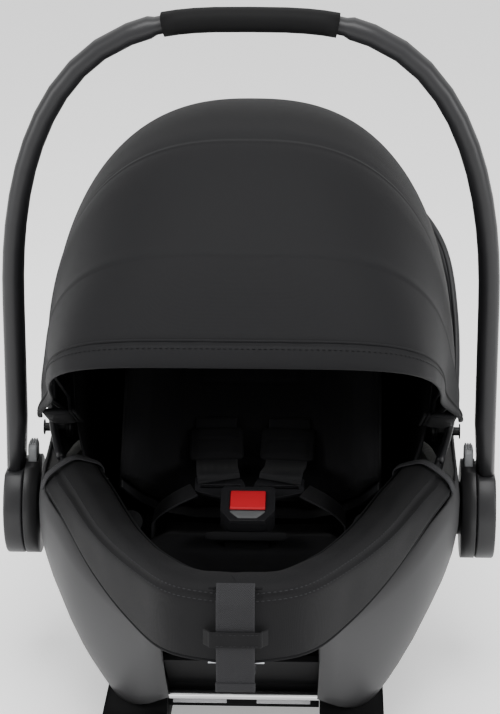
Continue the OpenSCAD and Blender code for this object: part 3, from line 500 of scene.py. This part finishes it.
def stuffed(node, name, voxel=4.5, shrink=1.5, cap=6, pressure=4, levels=1):
    """Padding in fabric: a CAD solid's shape, remeshed and blown up a little."""
    piece = copied(node, name)
    applied(piece, "REMESH", mode="VOXEL", voxel_size=voxel * MM)
    applied(piece, "SMOOTH", factor=0.5, iterations=2)
    applied(piece, "DISPLACE", strength=-shrink * MM, mid_level=0)
    start = points_of(piece)
    only(piece)
    modifier = piece.modifiers.new("Cloth", "CLOTH")
    modifier.settings.use_pressure = True
    modifier.settings.uniform_pressure_force = pressure
    modifier.settings.quality = 4
    modifier.settings.effector_weights.gravity = 0
    modifier.point_cache.frame_end = 20
    for step in range(1, 21):
        bpy.context.scene.frame_set(step)
    bpy.ops.object.modifier_apply(modifier=modifier.name)
    bpy.context.scene.frame_set(1)
    move = points_of(piece) - start
    size = np.linalg.norm(move, axis=1, keepdims=True)
    set_points(piece, start + move * np.minimum(1, cap / np.maximum(size, 1e-6)))
    return smooth(piece, levels)


def sewn(piece, seam, depth=1.4, width=2.2):
    """Draws a seam into the surface along a row of points."""
    seam = np.array(seam, float)
    spots = points_of(piece)
    normals = np.array([v.normal for v in piece.data.vertices])
    a, b = seam[:-1], seam[1:]
    nearest = np.full(len(spots), 1e9)
    for p, q in zip(a, b):
        d = q - p
        t = np.clip(((spots - p) @ d) / max(d @ d, 1e-9), 0, 1)
        nearest = np.minimum(nearest, np.linalg.norm(spots - p - t[:, None] * d, axis=1))
    sink = depth * np.exp(-((nearest / width) ** 2))
    set_points(piece, spots - normals * sink[:, None])
    return piece


def stitched(name, cover, path, pitch=4.6, length=3.2, radius=0.42, lift=0.25):
    """A row of separate stitches that lie on a cover along a path."""
    tree = BVHTree.FromObject(cover, bpy.context.evaluated_depsgraph_get())
    bpy.ops.mesh.primitive_uv_sphere_add(segments=6, ring_count=4, radius=1)
    one = taken(name)
    shape = points_of(one) * MM
    faces = [list(f.vertices) for f in one.data.polygons]
    path = np.array(path, float)
    steps = np.concatenate([[0], np.cumsum(np.linalg.norm(np.diff(path, axis=0), axis=1))])
    verts, polys = [], []
    for s in np.arange(pitch / 2, steps[-1], pitch):
        ends = [np.array([np.interp(s + k, steps, path[:, i]) for i in range(3)]) for k in (-0.5, 0.5)]
        spot, normal, _, _ = tree.find_nearest(Vector((ends[0] + ends[1]) / 2 * MM))
        z = np.array(normal)
        x = unit(ends[1] - ends[0])
        x = unit(x - (x @ z) * z)
        y = np.cross(z, x)
        centre = np.array(spot) / MM + z * lift
        first = len(verts)
        for v in shape:
            verts.append(centre + x * v[0] * length / 2 + y * v[1] * radius + z * v[2] * radius)
        polys += [[first + k for k in f] for f in faces]
    one.data.clear_geometry()
    one.data.from_pydata([tuple(v * MM) for v in verts], [], polys)
    return smooth(one)


def placed(piece, body, slot, *nodes):
    """Gives a piece its finish and its body, and hides the CAD nodes that it stands for."""
    dress(piece, slot)
    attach(piece, body)
    if nodes:
        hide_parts(*nodes)
    return piece


# ---------------------------------------------------------------- hood
HINGE = np.array([0.0, 40, 216])
HOOD = 302
RIBS = [27.8, 46, 72.7, 149]
BAND = 4.18


def hood_square(a):
    if a < RIBS[1]:
        return mix(5.5, 3.4, (a - RIBS[0]) / (RIBS[1] - RIBS[0]))
    if a < RIBS[2]:
        return mix(3.4, 2.7, (a - RIBS[1]) / (RIBS[2] - RIBS[1]))
    if a < 110:
        return mix(2.7, 2.45, (a - RIBS[2]) / (110 - RIBS[2]))
    return mix(2.45, 3.3, ease((a - 110) / 36))


def drawn_in(a, r):
    """Share of the width left at the front of the hood, away from its hinge."""
    front = float(np.interp(a, [RIBS[0], RIBS[1], 66], [0.885, 0.955, 1]))
    return 1 - (1 - front) * ease((r - 50) / 110)


def on_hood(a, f, d):
    """a is the angle about the hinge, f the angle round the arch and d how far it is set in."""
    n = hood_square(a)
    wide = mix(HALF, HALF - 9, ease((a - 116) / 20)) - d
    c, r = math.cos(math.radians(f)), (HOOD - d) * math.sin(math.radians(f)) ** (2 / n)
    return np.array([
        wide * drawn_in(a, r) * math.copysign(abs(c) ** (2 / n), c), HINGE[1] - r * math.cos(math.radians(a)),
        HINGE[2] + r * math.sin(math.radians(a))
    ])


def hood_arch(a, d, clear, count):
    """A row of points over the hood, evenly spaced, d a number or a function of the share across."""
    n = hood_square(a)
    f0 = math.degrees(math.asin((clear / HOOD) ** (n / 2)))
    fine = np.array([on_hood(a, mix(f0, 180 - f0, k / 400), 0) for k in range(401)])
    steps = np.concatenate([[0], np.cumsum(np.linalg.norm(np.diff(fine, axis=0), axis=1))])
    row = []
    for k in range(count):
        f = mix(f0, 180 - f0, float(np.interp(k / (count - 1) * steps[-1], steps, np.linspace(0, 1, 401))))
        row.append(on_hood(a, f, d(k / (count - 1)) if callable(d) else d))
    return row


HOOD_DEPTHS = [(31.5, 0.9), (46, 1.9), (47.6, 2.2), (71.5, 4.6), (74.4, 5.3), (80, 6.4), (149, 6.6)]


def hood_depth(a, share):
    """How far the fabric is set in: level at the hoops, a little slack between them."""
    base = float(np.interp(a, *zip(*HOOD_DEPTHS)))
    middle = math.sin(math.pi * min(1, max(0, share))) ** 0.5
    sag = 0.0
    for low, high, deep in ((31.5, 46, 1.6), (47.6, 71.5, 4.6), (74.4, 149, -4.4)):
        if low < a < high:
            t = (a - low) / (high - low)
            sag = deep * math.sin(math.pi * t**0.75) * (0.35 + 0.65 * middle)
    folds = 0.55 * math.sin(share * 61 + a * 0.11) * math.sin(a * 0.21 + share * 9) * (1 - middle) ** 1.5
    ridge = sum(0.7 * math.exp(-(((a - r) / 0.5) ** 2)) for r in (46.8, 73.4))
    return base + sag + folds - ridge


angles = sorted({*np.linspace(31.9, 149, 92), 46.0, 46.4, 46.8, 47.2, 47.6, 72.6, 73.0, 73.4, 73.8, 74.2})
hood_rows = [hood_arch(a, lambda share, a=a: hood_depth(a, share), 52, 121) for a in angles]
hood = grid("hood_fabric", hood_rows)
edited(hood, ("normals_make_consistent", {"inside": False}))
applied(hood, "SOLIDIFY", thickness=1.1 * MM, offset=0)
smooth(hood, 1)
dress(hood, "canopy_fabric")
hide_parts("canopy_panel_front", "canopy_panel_mid", "canopy_panel_rear")
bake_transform(hood)
# the hood's points, measured from the hinge
spots = points_of(hood) - HINGE

rings = []
top, low = hood_arch(RIBS[0] + BAND, 0, 48, 141), hood_arch(RIBS[0], 0, 48, 141)
for k, (p, q) in enumerate(zip(top, low)):
    out = unit(unit((p + q) / 2 - HINGE) + np.array([math.copysign(0.02, p[0]), 0, 0]))
    across, plump = unit(p - q), 1 + 0.12 * math.sin(k * 0.9) * math.sin(k * 0.23)
    middle, half = (p + q) / 2, np.linalg.norm(p - q) / 2
    ring = []
    for j in range(18):
        t = 2 * math.pi * j / 18
        x = math.copysign(abs(math.cos(t)) ** 0.8, math.cos(t)) * (half + 0.2)
        y = math.copysign(abs(math.sin(t)) ** 0.8, math.sin(t))
        ring.append(middle + across * x + out * (y * (2.9 * plump if y > 0 else 2.2) - 0.6))
    rings.append(ring)
band = tube("hood_rim_padding", rings, 1)
sewn(band, [mix(q, p, 0.83) + unit(p - HINGE) * 2 for p, q in zip(top, low)], 0.9, 1.4)
placed(band, "canopy_front", "canopy_fabric", "canopy_rim")
piping = cord_line("hood_rim_piping", [p + unit(p - HINGE) * 0.7 for p in top[2:-2]], 1.15)
placed(piping, "canopy_front", "canopy_fabric")
for side in (-1, 1):
    # the front hoop's leg in its sleeve of fabric, with two rows of piping on the inner edge
    slope = math.radians(RIBS[0] + BAND / 2)
    away, over = np.array([0, -math.cos(slope), math.sin(slope)]), np.array([0, math.sin(slope), math.cos(slope)])
    rings, edges = [], ([], [])
    for k in range(16):
        r = mix(74, 27, k / 15)
        centre = HINGE + away * r + (side * mix(172, 169, k / 15), 0, 0)
        plump = 3.6 * (1 - 0.3 * abs(2 * k / 15 - 1) ** 4)
        ring = []
        for j in range(16):
            t = 2 * math.pi * j / 16
            x = math.copysign(abs(math.cos(t)) ** 0.6, math.cos(t)) * 12.5
            ring.append(centre + (x * side, 0, 0) + over * math.sin(t) * plump)
        rings.append(ring)
        for edge, inset in zip(edges, (13.2, 16.6)):
            edge.append(centre - (side * inset, 0, 0) + over * 0.6)
    name = "right" if side > 0 else "left"
    leg_sleeve = placed(tube("hood_side_sleeve_" + name, rings, 1), "canopy_front", "canopy_fabric")
    for k, edge in enumerate(edges):
        placed(cord_line(f"hood_side_piping_{name}_{k + 1}", edge, 1.6), "canopy_front", "cover_fabric")
seam = stitched("hood_rim_stitches", band, [mix(q, p, 0.7) + unit(p - HINGE) * 3 for p, q in zip(top, low)][4:-4])
placed(seam, "canopy_front", "canopy_fabric")

# ---------------------------------------------------------------- padded lip
LIP_END, LIP_RISE = 0.445, 16


def lip_front(u):
    return 1 - ease(abs(u) / 0.22)


def lip_side(u, low, high):
    return ease((abs(u) - low) / (high - low))


def lip_low(u):
    drop = mix(44, 4, lip_side(u, 0.1, 0.445))
    return rim(u) + rim_out(u) * mix(6, 21, lip_side(u, 0.12, 0.445)) - UP * drop


def lip_ring(u):
    p, n, reach = rim(u), rim_out(u), mix(28, 48, lip_front(u))
    low = lip_low(u)
    shoulder = p + n * (mix(6, 21, lip_side(u, 0.12, 0.445)) * 0.6 + 1.5) + UP * LIP_RISE * 0.25
    puff = 0.5 * math.sin(u * 75) * math.sin(u * 21 + 1)
    return [
        p - n * reach + UP * (LIP_RISE - 9), p - n * reach * 0.85 + UP * (LIP_RISE - 3.8 + puff),
        p - n * reach * 0.6 + UP * (LIP_RISE - 1.2 + puff), p - n * reach * 0.3 + UP * (LIP_RISE + 0.4 + puff),
        p - n * 3 + UP * (LIP_RISE - 0.4), mix(p - n * 3 + UP * LIP_RISE, shoulder, 0.55) + n * 1.4,
        shoulder + n * 0.6, mix(shoulder, low, 0.35) + n * (0.8 + puff), mix(shoulder, low, 0.7) + n * 0.8,
        low + n * 0.2 + UP * 1.5, low - UP * 0.2, low - n * 4.3, mix(low - n * 4.4, p + n * 1.3 + UP * 1.2, 0.5),
        p + n * 1.3 + UP * 1.3, p - n * reach * 0.5 + UP * 1.4, p - n * (reach - 1) + UP * 1.6,
    ]


lip_us = [mix(-LIP_END, LIP_END, i / 150) for i in range(151)]
lip = tube("lip_padding", [lip_ring(u) for u in lip_us], 2)
seam_line = [mix(rim(u) - rim_out(u) * 3 + UP * LIP_RISE, lip_ring(u)[6], 0.7) for u in lip_us]
sewn(lip, seam_line, 2.0, 2.0)
placed(lip, "carrier", "lip_fabric", "lip_pad")
for name, shift in (("lip_stitches_inner", -4.2), ("lip_stitches_outer", 4.2)):
    path = [p + (lip_ring(u)[6] - lip_ring(u)[4]) / 12 * shift * 0.6 for p, u in zip(seam_line, lip_us)][6:-6]
    placed(stitched(name, lip, path), "carrier", "webbing")
lower_edge = [lip_low(u) - UP * 0.8 - rim_out(u) * 1.4 for u in lip_us[4:-4]]
placed(cord_line("lip_piping", lower_edge, 1.7), "carrier", "cover_fabric")
inner_edge = [lip_ring(u)[0] - rim_out(u) * 0.5 for u in lip_us[2:-2]]
placed(cord_line("lip_inner_piping", inner_edge, 1.5), "carrier", "cover_fabric")
TAIL = -FOOT - 8
KEEP = 169
keeper = [(-25, TAIL + 5, KEEP), (-21, TAIL + 0.6, KEEP), (-16, TAIL - 2.4, KEEP), (16, TAIL - 2.4, KEEP),
          (21, TAIL + 0.6, KEEP), (25, TAIL + 5, KEEP)]
placed(strap("webbing_keeper", keeper, 13, UP, 1.2, 40), "carrier", "lip_fabric")
for name, z in (("keeper_stitches_upper", KEEP + 4.8), ("keeper_stitches_lower", KEEP - 4.8)):
    path = line([(x, y, z) for x, y, _ in keeper[1:-1]], 30)
    placed(stitched(name, bpy.data.objects["webbing_keeper"], path, 3.4, 2.2, 0.3), "carrier", "webbing")
slit = [(x, -FOOT + 3 - abs(x) * 0.03, RIM_FOOT + LIP_RISE - 1.2) for x in (-21, -7, 7, 21)]
placed(cord_line("webbing_slit_edge", line(slit, 12), 1.3), "carrier", "cover_fabric")

# ---------------------------------------------------------------- lining of the tub
def top_share(u):
    """How high the lining goes: up to the rim, and at the head end up to the hood's rear edge."""
    h = 1.0
    while h > 0.3:
        d = tub(u, h, 23) - HINGE
        if math.degrees(math.atan2(d[2], -d[1])) < 147.2 or d[2] < 0:
            return h
        h -= 0.005
    return h


lining_us = [-1 + 2 * i / 120 for i in range(121)]
tops = [top_share(u) for u in lining_us]
lining_rows = [
    [tub(u, t * h**0.8, 23) for u, t in zip(lining_us, tops)] for h in np.linspace(0.06, 1, 26)
]
lining = grid("tub_lining", lining_rows)
edited(
    lining,
    ("remove_doubles", {"threshold": 0.00001}),
    ("normals_make_consistent", {"inside": False}),
)
applied(lining, "SOLIDIFY", thickness=3.2 * MM, offset=0)
edited(lining, ("normals_make_consistent", {"inside": False}))
smooth(lining, 1)
for u in (-0.62, -0.3, 0.3, 0.62):
    sewn(lining, [tub(u, h, 24.6) for h in np.linspace(0.2, 0.98, 24)], 1.2, 2.5)
placed(lining, "carrier", "cover_fabric", "seat_cover")

# ---------------------------------------------------------------- padding inside
rest = stuffed("headrest_pad", "headrest_padding", voxel=4.5, shrink=1.6, cap=5)
for side in (-1, 1):
    sewn(rest, [on_back(side * 66, s, 40) for s in np.linspace(2, 160, 24)], 2.2, 3)
    sewn(rest, [on_back(side * 112, s, 84) for s in np.linspace(2, 160, 24)], 1.6, 2.2)
sewn(rest, [on_back(x, 132, 31) for x in np.linspace(-62, 62, 16)], 2.0, 3)
placed(rest, "headrest", "pad_fabric", "headrest_pad")


def insert_top(y):
    return mix(140, 156, (-30 - y) / 54) if y < -30 else mix(140, 128, (y + 30) / 60)


insert = stuffed("insert_seat", "insert_cushion", voxel=4.5, shrink=1.4, cap=5)
sewn(insert, [(x, -88, insert_top(-88)) for x in np.linspace(-90, 90, 20)], 2.0, 3)
sewn(insert, [(x, -36, insert_top(-36)) for x in np.linspace(-90, 90, 20)], 1.6, 3)
placed(insert, "carrier", "pad_fabric", "insert_seat")
bolsters = stuffed("insert_bolsters", "insert_side_rolls", voxel=3, shrink=0.8, cap=3)
placed(bolsters, "carrier", "pad_fabric", "insert_bolsters")
crotch = stuffed("crotch_pad", "crotch_padding", voxel=1.8, shrink=0.6, cap=2)
placed(crotch, "carrier", "pad_fabric", "crotch_pad")

# ---------------------------------------------------------------- harness
STRAP_X, STRAP_S, WEB, REST_FRONT = 34, 92, 38, 30
shoulder_path = [
    on_back(STRAP_X, STRAP_S, 12), on_back(STRAP_X, STRAP_S, REST_FRONT + 4),
    on_back(STRAP_X, STRAP_S - 12, REST_FRONT + 10), on_back(STRAP_X - 2, 40, REST_FRONT + 18),
    on_buckle(29, 52, 3), on_buckle(27, 41, 1),
]
yoke_n = -LINING - 10
rear_n = yoke_n + 2.5
rear_path = [
    on_back(STRAP_X, STRAP_S, 10), on_back(STRAP_X, STRAP_S, -LINING + 6),
    on_back(STRAP_X, STRAP_S - 10, rear_n), on_back(STRAP_X - 3, 6, rear_n),
]
lap_z = insert_top(-22)


def floor_height(x, y):
    """Height of the tub's outside over a point of the plan."""
    best = min((rim(u) for u in np.linspace(0, 1, 400)), key=lambda p: abs(
        math.atan2(abs(x), 20 - y) - math.atan2(abs(p[0]), 20 - p[1])))
    h = math.hypot(x, y - 20) / math.hypot(best[0], best[1] - 20)
    straight = 0.85 * (best[1] / HEAD) ** 1.2 if best[1] > 0 else 0.35 * (-best[1] / FOOT) ** 2
    return mix(FLOOR, best[2], straight * h + (1 - straight) * (1 - math.sqrt(1 - h * h)))


lap_path = [
    on_buckle(49.5, 34, -4), (70, -24, lap_z + 30), (83, -22, lap_z + 18), (86, -22, lap_z + 6),
    (86, -22, floor_height(86, -22) - 6),
]


def mirrored(path, side):
    return [np.array(p, float) * (side, 1, 1) for p in path]


def joined(pieces, name):
    bpy.ops.object.select_all(action="DESELECT")
    for piece in pieces:
        piece.select_set(True)
    bpy.context.view_layer.objects.active = pieces[0]
    bpy.ops.object.join()
    return taken(name)


def pair(name, path, width, across, thick=1.6, count=60):
    return joined([strap(name + str(s), mirrored(path, s), width, across, thick, count) for s in (1, -1)], name)


shoulder = pair("shoulder_webbing", shoulder_path, WEB, (1, 0, 0), 1.6, 90)
dress(shoulder, "webbing")
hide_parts("shoulder_straps")
tuple(on_buckle(0, 50, 2) * MM)
tuple(on_back(0, 44, 48) * MM)
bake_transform(shoulder)
rear = pair("rear_webbing", rear_path, WEB, (1, 0, 0), 1.6, 70)
dress(rear, "webbing")
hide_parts("rear_straps")
tuple(on_back(0, 8, rear_n) * MM)
tuple(on_back(0, 90, 8) * MM)
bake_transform(rear)
placed(pair("lap_webbing", lap_path, WEB, (0, 1, 0), 1.6, 60), "carrier", "webbing", "lap_straps")
crotch_top = insert_top(-84)
crotch_path = [
    on_buckle(0, -20, -6), on_buckle(0, -27, -7), (0, -84, crotch_top + 1), (0, -84, crotch_top - 8),
    (0, -84, floor_height(0.01, -76) - 3.5),
]
placed(strap("crotch_webbing", crotch_path, WEB, (1, 0, 0)), "carrier", "webbing", "crotch_strap")
tail_path = [
    (0, TAIL + 11, 211), (0, TAIL + 6, 205), (0, TAIL + 1, 197), (0, TAIL, 188), (0, TAIL, 172), (0, TAIL, 160),
    (0, TAIL + 1, 148), (0, TAIL + 0.5, 136), (0, TAIL - 0.5, 126),
]
foot_z = RIM_FOOT - 50
under_path = [on_back(0, 14, yoke_n - 2.5), on_back(0, -4, yoke_n - 2.5)]
under_path += [tub(0, h, -9) for h in (0, 0.12, 0.25, 0.4, 0.55, 0.7, 0.78)]
under_path += [(0, -FOOT + 16.5, foot_z - 12), (0, -FOOT + 14.5, foot_z - 5), (0, -FOOT + 10.5, foot_z - 1),
               (0, -FOOT + 10.5, foot_z + 16)]
tail = strap("adjuster_webbing_tail", tail_path, 30, (1, 0, 0), 1.6, 60)
under = strap("adjuster_webbing_under", under_path, 30, (1, 0, 0), 1.6, 140)
placed(joined([under, tail], "adjuster_webbing"), "carrier", "webbing", "adjuster_strap")
hem = [(0, TAIL, 132), (0, TAIL - 0.5, 125)]
placed(strap("webbing_hem", hem, 31, (1, 0, 0), 3.4, 6), "carrier", "webbing")


def sleeve(name, side):
    """A padded sleeve round a shoulder strap, thin at its sewn edges."""
    low, high = shoulder_path[3], shoulder_path[2]
    rings = []
    for k in range(22):
        q = 0.04 + 0.92 * k / 21
        p = mix(high, low, q) * (side, 1, 1)
        d = unit((low - high) * (side, 1, 1))
        across = unit(np.array([1.0, 0, 0]) - d[0] * d)
        out = unit(np.cross(d, across))
        out = out if out[2] > 0 else -out
        close = min(k, 21 - k)
        full = min(1, 0.45 + 0.2 * close)
        wide = 25 * (1 - 0.05 * max(0, 2 - close))
        ring = []
        for j in range(20):
            t = 2 * math.pi * j / 20
            x = math.copysign(abs(math.cos(t)) ** 0.6, math.cos(t))
            y = math.copysign(abs(math.sin(t)) ** 0.9, math.sin(t))
            ring.append(p + across * wide * x + out * y * 5.0 * full)
        rings.append(ring)
    return tube(name, rings, 1)


pads = [sleeve("sleeve" + str(side), side) for side in (1, -1)]
for pad, side in zip(pads, (1, -1)):
    for x in (-20.5, 20.5):
        run = [mix(shoulder_path[2], shoulder_path[3], q) for q in np.linspace(0.06, 0.94, 20)]
        edge = [p * (side, 1, 1) + (x, 0, 4) for p in run]
        sewn(pad, edge, 1.1, 1.8)
    fold = mix(shoulder_path[2], shoulder_path[3], 0.5) * (side, 1, 1)
    sewn(pad, [fold + (x, 0, 4.5) for x in np.linspace(-19, 19, 10)], 0.9, 1.8)
placed(joined(pads, "shoulder_padding"), "headrest", "pad_fabric", "shoulder_pads")

# elastic bands over the lip; the tab on the left one is made with the rigid pieces below
BAND_U = 0.428


def over_lip(off):
    p, n, low = rim(BAND_U), rim_out(BAND_U), lip_low(BAND_U)
    wide, reach = mix(6, 21, lip_side(BAND_U, 0.12, 0.445)), 28
    return [
        low + n * off - UP * 2, p + n * (wide * 0.6 + 1.5 + off) + UP * (4 + off), p - n * 3 + UP * (16 + off),
        p - n * reach * 0.6 + UP * (14 + off), p - n * (reach + off) + UP * (7 + off), p - n * (reach + off) - UP * 4,
    ]


n = rim_out(BAND_U)
bands = [
    strap("band" + str(side), mirrored(over_lip(2.6), side), 9, (-n[1] * side, n[0], 0), 1.4, 50) for side in (1, -1)
]
placed(joined(bands, "elastic_bands"), "carrier", "elastic", "cover_bands")


# ---------------------------------------------------------------- rigid pieces with rounder forms
def rounded(node, name, angle=38, quads=False, levels=0, bevel=0.0):
    """A smooth copy of a CAD node, its faces merged and, if asked, its edges rounded."""
    piece = copied(node, name)
    if quads:
        edited(piece, ("tris_convert_to_quads", {}))
    if bevel:
        edited(piece, ("dissolve_limited", {"angle_limit": math.radians(1)}))
        limit = {"limit_method": "ANGLE", "angle_limit": math.radians(32)}
        applied(piece, "BEVEL", width=bevel * MM, segments=3, use_clamp_overlap=True, **limit)
    smooth(piece, levels, angle)
    body = next(b for b, nodes in frame["record"]["behaviour"]["bodies"].items() if node in nodes)
    return placed(piece, body, slot_of[node], node)


rounded("handle_frame", "handle_arch", quads=True, angle=60)
rounded("handle_grip", "handle_grip_sleeve", angle=60)
rounded("seat_shell", "tub_shell", angle=45)
rounded("side_panel_left", "side_cover_left", angle=45)
rounded("side_panel_right", "side_cover_right", angle=45)
for node in ("base_rail_left", "base_rail_right", "hub_housing_left", "hub_housing_right"):
    rounded(node, node + "_body")
for node in ("handle_hub_left", "handle_hub_right"):
    rounded(node, node + "_disc", bevel=2.2)
for node in ("release_button_left", "release_button_right"):
    rounded(node, node + "_key", bevel=1.2)
rounded("buckle_body", "buckle_case", bevel=1.6)
rounded("buckle_button", "buckle_key", bevel=1.3)
rounded("band_tab", "band_pull_tab", bevel=1.0)
rounded("headrest_shell", "headrest_back", bevel=0.8)
middle_hoop = rounded("canopy_hoop_mid", "hood_middle_hoop", angle=60)
spots = points_of(middle_hoop)
for p in spots:
    y, z = p[1:] - HINGE[1:]
    p[0] *= drawn_in(math.degrees(math.atan2(z, -y)), math.hypot(y, z))
set_points(middle_hoop, spots)
bead = [rim(u) for u in np.linspace(0.47, 1, 90)] + [rim(-u) for u in np.linspace(0.994, 0.47, 89)]
placed(cord_line("shell_edge_bead", [p - UP * 0.6 for p in bead], 3.2, 12), "carrier", "shell_plastic")
face = []
for depth, grow in ((9.4, 0), (10.4, 0), (11.2, -0.8), (11.4, -2.4)):
    low, high, wide, top = -20 - grow, -10.5 + grow, 11 + grow, 15.5 + grow
    corner = min(3.0, wide / 3)
    outline = [(-wide + corner, low), (wide - corner, low), (wide, low + corner), (top, high - 1),
               (top - 1, high), (-top + 1, high), (-top, high - 1), (-wide, low + corner)]
    face.append([on_buckle(x, y, depth) for x, y in outline])
placed(smooth(tube("buckle_face", face, 0), angle=45), "carrier", "tab_grey")
for side in ("left", "right"):
    spring = rounded("button_spring_" + side, "coil_spring_" + side, angle=80)
    low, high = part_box("button_spring_" + side)
    "release_" + side + "_press"
    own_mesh(spring)

# ribs on the grey keys and a ring on each hub
PIVOT_Y, PIVOT_Z, HUB_FACE, KEY_X, KEY_TOP = 10, 153, 219.6, 193.8, 212.1
for side in (-1, 1):
    for k in range(3):
        bpy.ops.mesh.primitive_cylinder_add(vertices=12, radius=0.9 * MM, depth=16 * MM, rotation=(math.pi / 2, 0, 0))
        rib = taken("key_rib_" + ("right" if side > 0 else "left") + str(k))
        bpy.ops.object.transform_apply(location=True, rotation=True, scale=True)
        set_points(rib, points_of(rib) + (side * (KEY_X + k * 2.2), PIVOT_Y, KEY_TOP))
        applied(rib, "BEVEL", width=0.4 * MM, segments=2, limit_method="ANGLE")
        smooth(rib, angle=40)
        placed(rib, "release_right" if side > 0 else "release_left", "button_grey")
    bpy.ops.mesh.primitive_torus_add(
        major_radius=33 * MM, minor_radius=0.9 * MM, major_segments=64, minor_segments=8,
        rotation=(0, math.pi / 2, 0))
    ring = taken("hub_ring_" + ("right" if side > 0 else "left"))
    bpy.ops.object.transform_apply(location=True, rotation=True, scale=True)
    set_points(ring, points_of(ring) + (side * HUB_FACE, PIVOT_Y, PIVOT_Z))
    smooth(ring)
    placed(ring, "handle", "handle_plastic")

# ---------------------------------------------------------------- floor, light and camera
bpy.ops.mesh.primitive_plane_add(size=30, location=(0, 8, 0))
floor = taken("floor")
floor_look = Look("floor_paint", Specular_IOR_Level=0.2, Emission_Color=(1, 1, 1, 1), Emission_Strength=0.4)
haze = floor_look.noise(2.0, 4)
floor.data.materials.append(floor_look.finish(
    Base_Color=floor_look.blend(haze, (0.90, 0.90, 0.90), (0.94, 0.94, 0.94)), Roughness=(haze * 0.1 + 0.8).held()))

world = bpy.data.worlds.new("studio")
bpy.context.scene.world = world
world.use_nodes = True
world.node_tree.nodes["Background"].inputs[0].default_value = (1, 1, 1, 1)
world.node_tree.nodes["Background"].inputs[1].default_value = 1.0


def lamp(name, spot, aim, size, power):
    bpy.ops.object.light_add(type="AREA", location=spot)
    light = taken(name)
    light.data.size, light.data.energy = size, power
    light.rotation_mode = "QUATERNION"
    light.rotation_quaternion = (Vector(aim) - Vector(spot)).to_track_quat("-Z", "Y")


lamp("top_softbox", (0, -0.5, 2.4), (0, 0, 0.3), 1.6, 60)
lamp("left_softbox", (-2.2, -1.2, 1.2), (0, 0, 0.3), 1.2, 40)
lamp("right_softbox", (2.2, -1.2, 1.2), (0, 0, 0.3), 1.2, 40)

bpy.ops.object.camera_add()
camera = taken("camera")
bpy.context.scene.camera = camera
tilt, round_by, far = math.radians(17), math.radians(2), 2.1
back = Vector((math.sin(round_by) * math.cos(tilt), -math.cos(round_by) * math.cos(tilt), math.sin(tilt)))
camera.location = Vector((0, 0, 0.297)) + back * far
camera.rotation_mode = "QUATERNION"
camera.rotation_quaternion = (-back).to_track_quat("-Z", "Y")
camera.data.sensor_width, camera.data.lens = 36, 119.35

bpy.context.view_layer.update()
